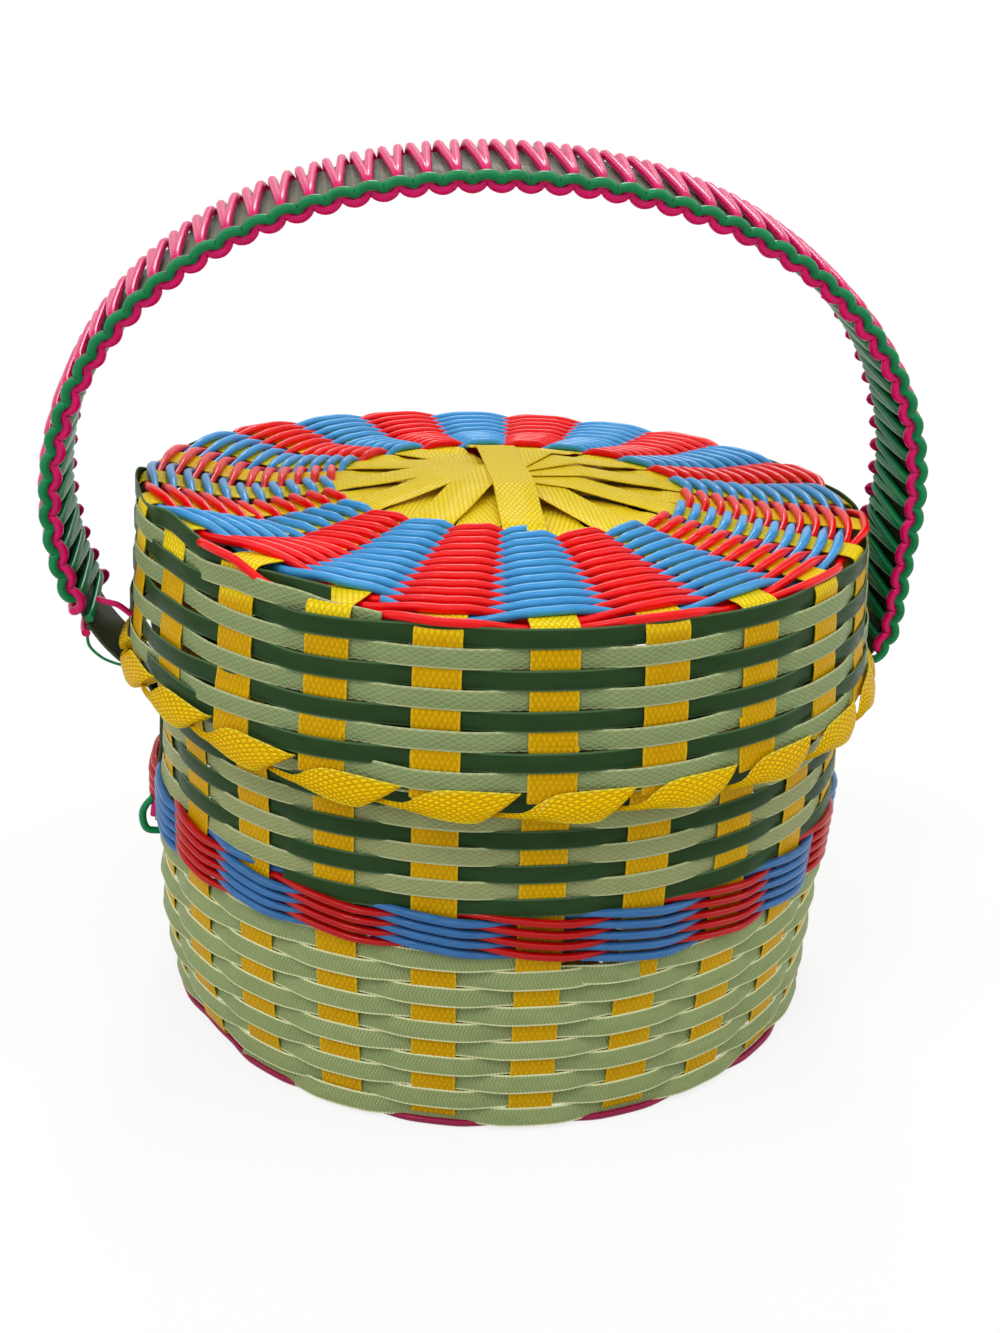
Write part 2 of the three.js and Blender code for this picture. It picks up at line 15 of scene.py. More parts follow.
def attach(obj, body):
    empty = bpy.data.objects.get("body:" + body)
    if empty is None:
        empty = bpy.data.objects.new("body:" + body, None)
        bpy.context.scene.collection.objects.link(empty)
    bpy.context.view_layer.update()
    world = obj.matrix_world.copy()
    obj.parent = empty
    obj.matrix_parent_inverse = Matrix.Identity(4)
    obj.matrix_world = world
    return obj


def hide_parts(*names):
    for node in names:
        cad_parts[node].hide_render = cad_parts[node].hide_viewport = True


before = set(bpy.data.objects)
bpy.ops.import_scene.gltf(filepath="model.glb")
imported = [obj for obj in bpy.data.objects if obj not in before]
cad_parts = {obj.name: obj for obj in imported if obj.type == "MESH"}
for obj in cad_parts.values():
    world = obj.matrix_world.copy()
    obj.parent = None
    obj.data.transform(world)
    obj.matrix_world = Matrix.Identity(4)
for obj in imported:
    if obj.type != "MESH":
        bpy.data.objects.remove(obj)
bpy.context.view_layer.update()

# Straps and tubes
STAKE_STRAPS = 12
STAKE_COUNT = 2 * STAKE_STRAPS
STAKE_STEP = 2 * math.pi / STAKE_COUNT
STAKE_WIDTH = 15.6
STRAP_THICKNESS = 0.6
STRAP_EDGE = 0.35
WEAVER_WIDTH = 6.7
LID_WEAVER_WIDTH = 6.8
LOWER_WEAVER_WIDTH = 7.1
TUBE_RADIUS = 1.7
SHARP_ANGLE = math.radians(50)

# Fineness of the meshes: steps between two stakes, and sides of a tube
ROW_STEPS = 14
TWINE_STEPS = 12
HOOP_STEPS = 6
TUBE_SIDES = 8
TWINE_SIDES = 10
CORNER_CUTS = 3

# Base
BASE_RIM_HEIGHT = 178.0
BASE_BAND_RADIUS = 134.5
BASE_FOOT_RADIUS = 129.2
BASE_RIM_RADIUS = 131.6
FOOT_BEND_HEIGHT = 5.5
FOOT_BEND_RUN = 11.0
FOOT_TUBE_RADIUS = 1.3
FOOT_TUBE_HEIGHT = 1.5
FOOT_TUBE_INSET = 0.9
FOOT_TUBE_WAVE = 1.1
FLOOR_PLANE = 3.9
RIM_FOLD_HEIGHT = 8.0
RIM_FOLD_GAP = 1.0
RIM_STAKE_GAP = 1.2
LOWER_ROW_PITCH = 7.3
UPPER_ROW_PITCH = 6.2
BAND_TOP = 93.2
BAND_BOTTOM = 73.6
BAND_TOP_FALL = 5.1
BAND_FALL = 6.2
BAND_START = 2.6
BAND_END = 119.6
BAND_FIRST_ROW = 91.1
BAND_ROW_PITCH = 4.42

# Lid
LID_TOP_HEIGHT = 191.6
LID_DOME_HEIGHT = 14.5
LID_DOME_POWER = 1.2
LID_RIM_HEIGHT = 133.2
LID_TOP_RADIUS = 137.0
LID_RIM_RADIUS = 141.9
LID_TWINING_RADIUS = 131.0
LID_SLOPE_RADIUS = 100.0
STAR_RADIUS = 64.0
STAR_PITCH = 0.9
LID_ROW_PITCH = 6.65
LID_HOOP_RISE = 2.5
LID_HOOP_HEIGHT = 4.5
LID_STAKE_END = 1.5
TAB_FOOT = 1.2
TAB_HEIGHT = 19.0
TAB_SLANT = 0.045
TAB_SHIFT = 0.9
TAB_LIFT = 0.55
TAB_TUCK = 0.45
ROWS_OVER_TABS = 0.75
EDGE_TUBE_RADIUS = 1.5
EDGE_TUBE_OUT = 4.9
EDGE_TUBE_DROP = 0.9
EDGE_TUBE_RISE = 1.7
EDGE_TUBE_WAVE = 2.4
LASHING_RADIUS = 147.0
LASHING_FOOT = 129.2
LASHING_REACH = 11.0
LASHING_WIDTH = 9.2
LASHING_THICKNESS = 0.5
LASHING_CROWN = 1.3
LASHING_WOBBLE = 0.35
LID_ROW_CLIMB_FOOT = 150.0
LID_ROW_CLIMB_RUN = 42.0

# Weave: how far the stakes stand out from the walls' radii, and how far straps and stakes give way
STAKE_LAY = 2.05
STAKE_WAVE = 0.3
WEAVER_WAVE = 0.7
WEAVER_TILT = 0.05
LOWER_WAVE = 1.1
LOWER_TILT = 0.17
HELD_ROW_PUSH = 0.7

# Twined tubes: how far they stand out and sway, half their height and width where two of them cross, and
# half their height over a stake
TWINE_LIFT = 1.95
TWINE_SWAY = 1.4
CROSSING_TALL = 1.75
CROSSING_WIDE = 1.15
STAKE_TALL = 1.6
TWINE_MARGIN = 2.4
FLOOR_TWINE_PITCH = 5.9
FLOOR_TWINE_END = 216
LID_TWINE_PITCH = 5.85
LID_TWINE_END = 266

# Rows: height of the first row at the front, before it winds down, and the places where each strap ends
LID_DARK_ROW = 201.1
BASE_DARK_ROW = 166.8
LOWER_ROW = 70.6
LOWEST_ROW = 4.9
UPPER_DARK_ENDS = (-12.3, 146.6)
UPPER_LIGHT_ENDS = (-23.7, 132.5)
LOWER_A_ENDS = (-1.0, 111.0)
LOWER_B_ENDS = (-12.4, 99.4)
LID_DARK_ENDS = (2.0, 103.4)
LID_LIGHT_ENDS = (1.5, 98.1)

# How far the base gives way to the right at several heights on its left side
SQUEEZE = ([0, 12, 30, 45, 60, 75, 90, 100, 112, 150], [0, -1, -3.2, -2.2, -0.6, 0, 1.3, 2.8, 3.2, 0])

# Handle
HANDLE_HALF_WIDTH = 162.4
HANDLE_WAIST_HEIGHT = 194.4
HANDLE_TOP_HEIGHT = 321.0
HANDLE_FOOT_HEIGHT = 138.6
HANDLE_LEAN_RUN = 32.0
HANDLE_ROLL = math.radians(4)
HANDLE_ROUNDNESS = 2.1
HANDLE_LEAN = math.radians(7)
HANDLE_SWAY = 5.4
CORE_WIDTH = 32.0
CORE_THICKNESS = 1.2
LACING_RADIUS = 1.7
LACING_LOOPS = 56
LACING_LEFT_HEIGHT = 150.0
LACING_RIGHT_HEIGHT = 133.0
LACING_TIGHT_ROOM = 0.4
LACING_TIGHT_RUN = 12.0

# Star: distances from the centre where the straps begin to part, and how far they are stacked up there
SECOND_NEIGHBOURS = STAKE_WIDTH / 2 / math.sin(STAKE_STEP)
FIRST_NEIGHBOURS = STAKE_WIDTH / 2 / math.sin(STAKE_STEP / 2)
BETWEEN_NEIGHBOURS = (SECOND_NEIGHBOURS + 2 * FIRST_NEIGHBOURS) / 3
STAR_STATIONS = [SECOND_NEIGHBOURS, BETWEEN_NEIGHBOURS, FIRST_NEIGHBOURS, STAR_RADIUS - 1]
STAR_SPREADS = [1, 0.35, 0.35, 0]

# Looks, with depths in metres
STRAP_COAT = 0.04
STRAP_COAT_ROUGHNESS = 0.12
STRAP_SPECULAR = 0.04
PRESSED_SHARE = 0.42
PRESSED_DEPTH = 0.0003
LASHING_DEPTH = 0.0009
TUBE_ROUGHNESS = 0.3
TUBE_COAT = 0.3
TUBE_COAT_ROUGHNESS = 0.08
TUBE_SPECULAR = 0.06
TUBE_DEPTH = 0.0002

# Stage: the floor's grey and glow, the world's strength, and both as the camera sees them
FLOOR_REACH = 4.0
FLOOR_GREY = 0.72
SEEN_FLOOR_GREY = 0.94
SEEN_FLOOR_GLOW = 0.8
WORLD_STRENGTH = 0.36
SEEN_WORLD_STRENGTH = 1.0

# Suns: where each one shines from, its strength and its width in degrees
SUNS = {
    "key light": ((-0.05, -0.3, 1.0), 1.22, 80),
    "left light": ((-1.0, -0.15, 0.7), 0.54, 40),
    "right light": ((1.0, -0.1, 0.7), 0.66, 40),
    "back light": ((0.1, 1.15, 1.0), 0.75, 18),
    "front light": ((-0.45, -0.5, 1.0), 0.42, 12),
}

# Camera, in metres
CAMERA_LENS = 54
CAMERA_SENSOR = 36
CAMERA_PLACE = (-0.07255, -0.56361, 0.345666)
CAMERA_FORWARD = (0.12067122, 0.92410007, -0.36259828)
CAMERA_RIGHT = (0.992583, -0.11774658, 0.03024443)


# Shape helpers
def smooth(share):
    s = np.clip(share, 0, 1)
    return s * s * (3 - 2 * s)


def mix(low, high, share):
    return low + (high - low) * share


def out_from_axis(place):
    angle = -math.pi / 2 - np.asarray(place, float) * STAKE_STEP
    return np.stack([np.cos(angle), np.sin(angle), np.zeros_like(angle)], axis=-1)


def around(place, radius, z):
    place, radius, z = np.broadcast_arrays(np.asarray(place, float), radius, z)
    points = out_from_axis(place) * radius[..., None]
    points[..., 2] = z
    return points


def unit(vectors):
    return vectors / np.linalg.norm(vectors, axis=-1, keepdims=True)


def lengths_along(points):
    steps = np.linalg.norm(np.diff(points, axis=0), axis=1)
    return np.concatenate([[0], np.cumsum(steps)])


def rounded(path):
    """Path with its corners cut again and again."""
    path = np.asarray(path, float)
    for _ in range(CORNER_CUTS):
        near = mix(path[:-1], path[1:], 0.25)
        far = mix(path[:-1], path[1:], 0.75)
        middle = np.stack([near, far], axis=1).reshape(-1, path.shape[1])
        path = np.concatenate([path[:1], middle[1:-1], path[-1:]])
    return path


def resampled(path, step):
    lengths = lengths_along(path)
    marks = np.linspace(0, lengths[-1], max(2, int(lengths[-1] / step) + 1))
    return np.stack([np.interp(marks, lengths, path[:, k]) for k in range(path.shape[1])], axis=1)


def through(keys, steps):
    """Smooth curve through key points, with a number of steps between each two."""
    keys = np.asarray(keys, float)
    padded = np.concatenate([2 * keys[:1] - keys[1:2], keys, 2 * keys[-1:] - keys[-2:-1]])
    t = np.linspace(0, 1, steps, endpoint=False)[:, None]
    rows = []
    for i in range(len(keys) - 1):
        a, b, c, d = (padded[i + k].reshape(1, -1) for k in range(4))
        square = 2 * a - 5 * b + 4 * c - d
        cube = 3 * b - a - 3 * c + d
        rows.append(0.5 * (2 * b + (c - a) * t + square * t**2 + cube * t**3))
    flat = np.concatenate(rows + [keys[-1].reshape(1, -1)])
    return flat.reshape(-1, *keys.shape[1:])


# Mesh helpers
def strap_outline(width, thickness):
    half, skin, edge = width / 2, thickness / 2, STRAP_EDGE
    return np.array([
        [-half, -skin / 2], [-half, skin / 2], [-half + edge, skin], [0, skin], [half - edge, skin],
        [half, skin / 2], [half, -skin / 2], [half - edge, -skin], [0, -skin], [-half + edge, -skin],
    ])


def round_outline(sides):
    turn = np.arange(sides) * 2 * math.pi / sides
    return np.stack([np.cos(turn), np.sin(turn)], axis=1)


def skin_faces(rings, corners, closed=False):
    """Faces between rings of points, with a cap at each end where the skin isn't closed in a hoop."""
    faces = []
    for ring in range(rings if closed else rings - 1):
        here, there = ring * corners, (ring + 1) % rings * corners
        for c in range(corners):
            d = (c + 1) % corners
            faces.append((here + c, here + d, there + d, there + c))
    if not closed:
        faces.append(tuple(range(corners))[::-1])
        faces.append(tuple((rings - 1) * corners + c for c in range(corners)))
    return faces


def swept(points, side, normal, outlines, closed=False, seed=0.0):
    """Surface of an outline carried along points: vertices, faces and their place on the strap."""
    outlines = np.broadcast_to(outlines, (len(points), *np.asarray(outlines).shape[-2:]))
    vertices = points[:, None] + outlines[..., :1] * side[:, None] + outlines[..., 1:] * normal[:, None]
    rings, corners = outlines.shape[:2]
    marks = np.zeros((rings, corners, 3))
    marks[..., 0] = lengths_along(points)[:, None]
    marks[..., 1] = outlines[..., 0]
    marks[..., 2] = seed
    return vertices.reshape(-1, 3), skin_faces(rings, corners, closed), marks.reshape(-1, 3)


def squeezed(points):
    """The left leg's pull: the base's wall gives way inwards over the band and swells out under it."""
    give = np.interp(points[:, 2], *SQUEEZE) * smooth((-points[:, 0] - 50) / 90)
    return points + give[:, None] * [1, 0, 0]


def add_mesh(name, parts, material, body, replaced):
    """Piece made of parts, each with its vertices, faces and their places on the strap."""
    vertices = np.concatenate([p[0] for p in parts])
    if body == "base":
        vertices = squeezed(vertices)
    marks = np.concatenate([p[2] for p in parts])
    faces, start = [], 0
    for part in parts:
        faces.extend(tuple(start + i for i in face) for face in part[1])
        start += len(part[0])
    mesh = bpy.data.meshes.new(name)
    mesh.from_pydata((vertices * 0.001).tolist(), [], faces)
    strap = mesh.attributes.new("strap", "FLOAT_VECTOR", "POINT")
    strap.data.foreach_set("vector", marks.ravel())
    height = mesh.attributes.new("height", "FLOAT", "POINT")
    height.data.foreach_set("value", vertices[:, 2].copy())
    mesh.shade_smooth()
    mesh.set_sharp_from_angle(angle=SHARP_ANGLE)
    mesh.materials.append(material)
    piece = bpy.data.objects.new(name, mesh)
    bpy.context.scene.collection.objects.link(piece)
    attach(piece, body)
    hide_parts(*replaced)


def strap_part(points, across, width, seed):
    tangent = unit(np.gradient(points, axis=0))
    normal = unit(np.cross(tangent, across))
    return swept(points, across, normal, strap_outline(width, STRAP_THICKNESS), seed=seed)


def tube_part(points, radius, closed=False, seed=0.0):
    """Round tube that keeps its own up direction from point to point."""
    tangent = unit(np.gradient(points, axis=0))
    normal = np.zeros_like(points)
    last = np.array([0.0, 0.0, 1.0]) if abs(tangent[0, 2]) < 0.9 else np.array([1.0, 0.0, 0.0])
    for i, along in enumerate(tangent):
        last = last - along * last.dot(along)
        last = last / np.linalg.norm(last)
        normal[i] = last
    return swept(points, np.cross(tangent, normal), normal, round_outline(TUBE_SIDES) * radius, closed, seed)


# Walls and lid top
def base_wall(z):
    z = np.asarray(z, float)
    low = mix(BASE_FOOT_RADIUS, BASE_BAND_RADIUS, (z - FOOT_BEND_HEIGHT) / (BAND_TOP - FOOT_BEND_HEIGHT))
    share = (z - BAND_TOP) / (BASE_RIM_HEIGHT - BAND_TOP)
    return np.where(z <= BAND_TOP, low, mix(BASE_BAND_RADIUS, BASE_RIM_RADIUS, share * share))


def lid_wall(z):
    share = (LID_TOP_HEIGHT - np.asarray(z, float)) / (LID_TOP_HEIGHT - LID_RIM_HEIGHT)
    return mix(LID_TOP_RADIUS, LID_RIM_RADIUS, share)


def lid_plane(radius):
    share = np.maximum(radius, SECOND_NEIGHBOURS) / LID_TWINING_RADIUS
    return LID_TOP_HEIGHT + LID_DOME_HEIGHT * (1 - share**LID_DOME_POWER)


def lid_edge_rise(place):
    """The lid's rows wind down from one start, so its edge is highest there and falls away round the lid."""
    places = [0, 1, 2, 3, 4, 5, 6.5, 9, 12, 24]
    rises = [0, -0.5, 2.2, 8.6, 12.6, 13.0, 12.0, 8.5, 6.2, 0]
    return np.interp(np.mod(place, STAKE_COUNT), places, rises)


def lid_foot_rise(place):
    """The skirt's lower edge stands higher at the left as well."""
    places = [0, 1, 2, 3, 4, 5, 6, 7, 12, 20, 22, 24]
    rises = [0, 0, 3, 7, 10, 11, 10.5, 8.5, 7, 4, 2, 0]
    return np.interp(np.mod(place, STAKE_COUNT), places, rises)


def lid_row_climb(place, z):
    """The topmost rows climb over the left side."""
    climb = np.interp(np.mod(place, STAKE_COUNT), [2.3, 3, 4, 5, 6.5, 9, 12], [0, 2.5, 7, 8, 7, 3, 0])
    return climb * np.clip((z - LID_ROW_CLIMB_FOOT) / LID_ROW_CLIMB_RUN, 0, 1)


def lid_surface(place, radius):
    """Height of the stakes' middle plane over the lid's top."""
    edge = LID_TOP_HEIGHT + lid_edge_rise(place)
    share = np.clip((radius - LID_SLOPE_RADIUS) / (LID_TWINING_RADIUS - LID_SLOPE_RADIUS), 0, 1)
    return mix(lid_plane(np.minimum(radius, LID_SLOPE_RADIUS)), edge, share)


def weave_side(place, radius, over_even):
    """1 where a strap lies outside a stake and -1 where it lies inside, level across the stake's width."""
    from_even = np.abs((np.asarray(place) + 1) % 2 - 1)
    flat = np.minimum(STAKE_WIDTH / 2 / (radius * STAKE_STEP), 0.42)
    side = 1 - 2 * smooth((from_even - flat) / (1 - 2 * flat))
    return side if over_even else -side


def row_wobble(place):
    """Small rise and fall that all rows share."""
    turn = np.mod(place, STAKE_COUNT) * STAKE_STEP
    return 0.3 * np.sin(3 * turn + 1) + 0.2 * np.sin(7 * turn) + 0.1 * np.sin(16 * turn + 2)


# Star of straps
def star_layer(strap):
    rank = strap // 2 if strap % 2 == 0 else STAKE_STRAPS // 2 + (strap - 1) // 2
    return STAKE_STRAPS - 1 - rank


def stake_wave(z, place, top_row, pitch, over_even):
    """Give of a stake under the rows that pass outside it."""
    outside = top_row - pitch * place / STAKE_STRAPS
    if (place % 2 == 0) != over_even:
        outside -= pitch
    return -STAKE_WAVE * np.cos(math.pi * (z - outside) / pitch)


def base_half_path(place, layer):
    """Distance from the axis and height of a base stake, from near the centre to the rim."""
    lowest = -(FLOOR_PLANE - STRAP_THICKNESS / 2) / STAR_PITCH
    rise = (lowest + layer) * STAR_PITCH
    star = [[d, FLOOR_PLANE + rise * spread] for d, spread in zip(STAR_STATIONS, STAR_SPREADS)]
    foot = float(base_wall(FOOT_BEND_HEIGHT)) + STAKE_LAY
    bend = [
        [foot - FOOT_BEND_RUN, FLOOR_PLANE],
        [foot - 1.8, FLOOR_PLANE - 0.8],
        [foot - 0.2, FLOOR_PLANE + 0.2],
        [foot, 9],
    ]
    top = BASE_RIM_HEIGHT - RIM_STAKE_GAP
    wall = [[float(base_wall(z)) + STAKE_LAY, z] for z in np.linspace(18, top, 12)]
    path = resampled(rounded(star + bend + wall), 1.5)
    z = path[:, 1]
    upper = stake_wave(z, place, BASE_DARK_ROW, UPPER_ROW_PITCH, True)
    lower = stake_wave(z, place, LOWER_ROW, LOWER_ROW_PITCH, False)
    on_wall = path[:, 0] > foot - 2
    path[:, 0] += np.where(on_wall & (z > BAND_TOP + 3) & (z < top - RIM_FOLD_HEIGHT), upper, 0)
    path[:, 0] += np.where(on_wall & (z > FOOT_BEND_HEIGHT) & (z < BAND_BOTTOM - 5), lower, 0)
    return path


def lid_half_path(place, layer):
    """Distance from the axis and height of a lid stake, from near the centre to the skirt's foot."""
    edge = LID_TOP_HEIGHT + float(lid_edge_rise(place))
    rise = (layer - (STAKE_STRAPS - 1) / 2) * STAR_PITCH
    star = [[d, float(lid_plane(d)) + rise * spread] for d, spread in zip(STAR_STATIONS, STAR_SPREADS)]
    corner = float(lid_wall(edge)) + STAKE_LAY - STRAP_THICKNESS
    top = [
        [LID_SLOPE_RADIUS, float(lid_plane(LID_SLOPE_RADIUS))],
        [LID_TWINING_RADIUS, edge],
        [corner, edge],
    ]
    foot = LID_RIM_HEIGHT + float(lid_foot_rise(place)) + LID_STAKE_END
    wall = [[float(lid_wall(z)) + STAKE_LAY, z] for z in np.linspace(edge - 4, foot, 8)]
    path = resampled(rounded(star + top + wall), 1.5)
    z = path[:, 1]
    on_wall = (path[:, 0] > corner - 1) & (z < edge - 3)
    path[:, 0] += np.where(on_wall, stake_wave(z, place, LID_DARK_ROW, LID_ROW_PITCH, True), 0)
    return path


def star_strap(strap, half_path, seed):
    layer = star_layer(strap)
    near = half_path(strap, layer)
    far = half_path(strap + STAKE_STRAPS, layer)
    far = (far * [-1, 1])[::-1]
    path = resampled(np.concatenate([far, near]), 1.6)
    out = out_from_axis(strap)
    side = np.array([-out[1], out[0], 0.0])
    points = out * path[:, :1]
    points[:, 2] = path[:, 1]
    sway = 0.35 * np.sin(path[:, 0] / 31 + seed * 5)
    points = points + side * sway[:, None]
    across = np.broadcast_to(side, points.shape)
    return strap_part(points, across, STAKE_WIDTH, seed)


# Woven rows
def weaver_part(
        ends, front, pitch, width, over_even, wall, seed, settle, tilt=WEAVER_TILT, wave=WEAVER_WAVE):
    """Strap wound round a wall. settle moves its even row up, down and outwards where something is in its
    way."""
    first, last = ends
    place = np.linspace(first, last, int((last - first) * ROW_STEPS) + 1)
    z, outward = settle(place, front - pitch * place / STAKE_STRAPS)
    z = z + row_wobble(place)
    radius = wall(z) + STAKE_LAY
    side = weave_side(place, radius, over_even)
    radius = radius + wave * side + outward
    across = np.array([0.0, 0.0, math.cos(tilt)]) - out_from_axis(place) * math.sin(tilt)
    return strap_part(around(place, radius, z), across, width, seed)


def band_top(place):
    return BAND_TOP - BAND_TOP_FALL * np.mod(place - 3, STAKE_COUNT) / STAKE_COUNT


def band_bottom(place):
    return BAND_BOTTOM - BAND_FALL * np.mod(place, STAKE_COUNT) / STAKE_COUNT


def twist_share(place, spacing):
    """1 over an even stake, -1 under an odd one, and 0 halfway, where the two tubes of a row cross."""
    from_even = np.abs((place + 1) % 2 - 1)
    level = 0.5 * np.minimum(STAKE_WIDTH / 2 / spacing, 0.4)
    share = np.clip((np.minimum(from_even, 1 - from_even) - level) / (0.5 - level), 0, 1)
    height = np.cos(share * math.pi / 2)
    return np.where(from_even < 0.5, height, -height)


def twined_tubes(first, last, surface, over_even, seed, reach):
    """One of the two tubes of a twined row. surface gives the row's line, its normal and its own side, and
    reach is half the tube's width where it lies over a stake."""
    place = np.linspace(first, last, int((last - first) * TWINE_STEPS) + 1)
    centre, normal, side, spacing, lift = surface(place)
    shift = place if over_even else place + 1
    height = twist_share(shift, spacing)
    turn = np.sin(math.pi * shift)
    squeeze = np.abs(height)
    tall = mix(CROSSING_TALL, STAKE_TALL, squeeze)
    wide = mix(CROSSING_WIDE, reach, squeeze)
    points = centre + normal * (height * lift)[:, None] + side * (turn * TWINE_SWAY)[:, None]
    outline = round_outline(TWINE_SIDES)[None] * np.stack([wide, tall], axis=1)[:, None]
    return swept(points, side, normal, outline, seed=seed)


# Materials
class Nodes:
    """Small helper that chains shader nodes."""

    def __init__(self, material):
        self.tree = material.node_tree

    def add(self, kind, **settings):
        node = self.tree.nodes.new(kind)
        for key, value in settings.items():
            setattr(node, key, value)
        return node

    def plug(self, value, target):
        if isinstance(value, bpy.types.NodeSocket):
            self.tree.links.new(value, target)
        else:
            target.default_value = value

    def math(self, operation, *values):
        node = self.add("ShaderNodeMath", operation=operation)
        for value, target in zip(values, node.inputs):
            self.plug(value, target)
        return node.outputs[0]

    def ramp(self, value, low, high, out_low=0.0, out_high=1.0):
        node = self.add("ShaderNodeMapRange", interpolation_type="SMOOTHSTEP")
        for item, target in zip((value, low, high, out_low, out_high), node.inputs):
            self.plug(item, target)
        return node.outputs[0]

    def mix(self, share, a, b):
        node = self.add("ShaderNodeMix", data_type="RGBA")
        self.plug(share, node.inputs[0])
        self.plug(a, node.inputs[6])
        self.plug(b, node.inputs[7])
        return node.outputs[2]

    def noise(self, scale, detail):
        node = self.add("ShaderNodeTexNoise")
        node.inputs["Scale"].default_value = scale
        node.inputs["Detail"].default_value = detail
        return node.outputs["Fac"]

    def bump(self, height, strength, depth, shader):
        node = self.add("ShaderNodeBump")
        node.inputs["Strength"].default_value = strength
        node.inputs["Distance"].default_value = depth
        self.plug(height, node.inputs["Height"])
        self.plug(node.outputs[0], shader.inputs["Normal"])


def colour(code):
    """Linear colour of an sRGB hex code."""
    channels = [int(code[i:i + 2], 16) / 255 for i in (0, 2, 4)]
    linear = [c / 12.92 if c <= 0.04045 else ((c + 0.055) / 1.055) ** 2.4 for c in channels]
    return (*linear, 1.0)


def new_material(name, roughness, coat, coat_roughness, specular):
    material = bpy.data.materials.new(name)
    material.use_nodes = True
    shader = material.node_tree.nodes["Principled BSDF"]
    shader.inputs["Roughness"].default_value = roughness
    shader.inputs["Specular IOR Level"].default_value = specular
    shader.inputs["Coat Weight"].default_value = coat
    shader.inputs["Coat Roughness"].default_value = coat_roughness
    return material, Nodes(material), shader


def strap_place(nodes):
    attribute = nodes.add("ShaderNodeAttribute", attribute_name="strap")
    split = nodes.add("ShaderNodeSeparateXYZ")
    nodes.plug(attribute.outputs["Vector"], split.inputs[0])
    return split.outputs


def net_lines(nodes, along, across, cell_along, cell_across):
    """Fine pressed lines that cross in diamonds."""
    u = nodes.math("DIVIDE", along, cell_along)
    v = nodes.math("DIVIDE", across, cell_across)
    lines = []
    for operation in ("ADD", "SUBTRACT"):
        turn = nodes.math("PINGPONG", nodes.math(operation, u, v), 0.5)
        lines.append(nodes.ramp(turn, 0.02, 0.24, 1.0, 0.0))
    return nodes.math("MAXIMUM", *lines)


def zigzag_lines(nodes, along, across, cell_along, cell_across):
    """Fine pressed lines that run in zigzags across the strap."""
    u = nodes.math("DIVIDE", along, cell_along)
    v = nodes.math("PINGPONG", nodes.math("DIVIDE", across, cell_across), 1.0)
    turn = nodes.math("PINGPONG", nodes.math("ADD", u, v), 0.5)
    return nodes.ramp(turn, 0.05, 0.38, 1.0, 0.0)


def strap_material(
        name, colours, width, roughness, edge_highlight_share, pressing=None, upper=None, depth=PRESSED_DEPTH):
    """Plastic strap with an uneven tint and thin edges painted paler, a painted highlight. pressing has the
    kind, size and painted shading of its pressed lines, and depth is how deep they are. upper is a paler
    colour painted on between two heights, a painted sheen where the strap catches more light."""
    base, tint, edge = colours
    material, nodes, shader = new_material(name, roughness, STRAP_COAT, STRAP_COAT_ROUGHNESS, STRAP_SPECULAR)
    along, across, seed = strap_place(nodes)
    patch = nodes.noise(24.0, 3.0)
    surface = nodes.mix(nodes.ramp(patch, 0.35, 0.75, 0.0, 0.4), colour(base), colour(tint))
    per_strap = nodes.math("FRACT", nodes.math("MULTIPLY", seed, 7.31))
    surface = nodes.mix(nodes.ramp(per_strap, 0.0, 1.0, 0.0, 0.25), surface, colour(tint))
    # Painted sheen: between two heights the strap is painted in a paler colour, where it catches more light.
    if upper:
        pale, low, high = upper
        attribute = nodes.add("ShaderNodeAttribute", attribute_name="height")
        painted_sheen_share = nodes.ramp(attribute.outputs["Fac"], low, high)
        surface = nodes.mix(painted_sheen_share, surface, colour(pale))
    height = nodes.math("MULTIPLY", nodes.noise(900.0, 2.0), 0.12)
    # Painted shade: the pressed grooves are painted darker, and paler on the sage straps as a painted
    # highlight.
    if pressing:
        lines, cells, pressed_shading = pressing
        pressed = lines(nodes, along, across, *cells)
        surface = nodes.mix(nodes.math("MULTIPLY", pressed, PRESSED_SHARE), surface, colour(pressed_shading))
        height = nodes.math("SUBTRACT", height, pressed)
    outer = nodes.math("ABSOLUTE", across)
    # Painted highlight: both thin edges of the strap are painted in the paler edge colour, where they catch
    # the light.
    rim = nodes.ramp(outer, width / 2 - 0.8, width / 2 - 0.3)
    surface = nodes.mix(nodes.math("MULTIPLY", rim, edge_highlight_share), surface, colour(edge))
    nodes.bump(height, 0.9, depth, shader)
    nodes.plug(surface, shader.inputs["Base Color"])
    rough = nodes.ramp(nodes.noise(60.0, 2.0), 0.3, 0.7, roughness - 0.06, roughness + 0.1)
    nodes.plug(rough, shader.inputs["Roughness"])
    return material


def tube_material(name, base, deep, pale):
    """Glossy plastic tube, a little cloudy along its length."""
    material, nodes, shader = new_material(
        name, TUBE_ROUGHNESS, TUBE_COAT, TUBE_COAT_ROUGHNESS, TUBE_SPECULAR)
    patch = nodes.noise(40.0, 3.0)
    surface = nodes.mix(nodes.ramp(patch, 0.35, 0.75, 0.0, 0.55), colour(base), colour(deep))
    streak = nodes.noise(160.0, 2.0)
    surface = nodes.mix(nodes.ramp(streak, 0.6, 0.85, 0.0, 0.3), surface, colour(pale))
    nodes.bump(nodes.noise(120.0, 2.0), 0.5, TUBE_DEPTH, shader)
    nodes.plug(surface, shader.inputs["Base Color"])
    return material


# Pressed lines of each kind of strap: their pattern, the length and width of one cell, and their painted
# shading:
# darker shade in the grooves, and a paler painted highlight on the sage straps
STAKE_PRESSING = (net_lines, (3.7, 2.0), "C88A04")
SAGE_PRESSING = (net_lines, (3.4, 1.8), "B8C492")
UPPER_SAGE_PRESSING = (net_lines, (3.4, 1.8), "C4CA98")
LOWER_SAGE_PRESSING = (zigzag_lines, (1.3, 2.6), "7C9060")
OLIVE_PRESSING = (net_lines, (4.0, 2.0), "22281A")
LASHING_PRESSING = (net_lines, (3.4, 1.5), "E89A00")
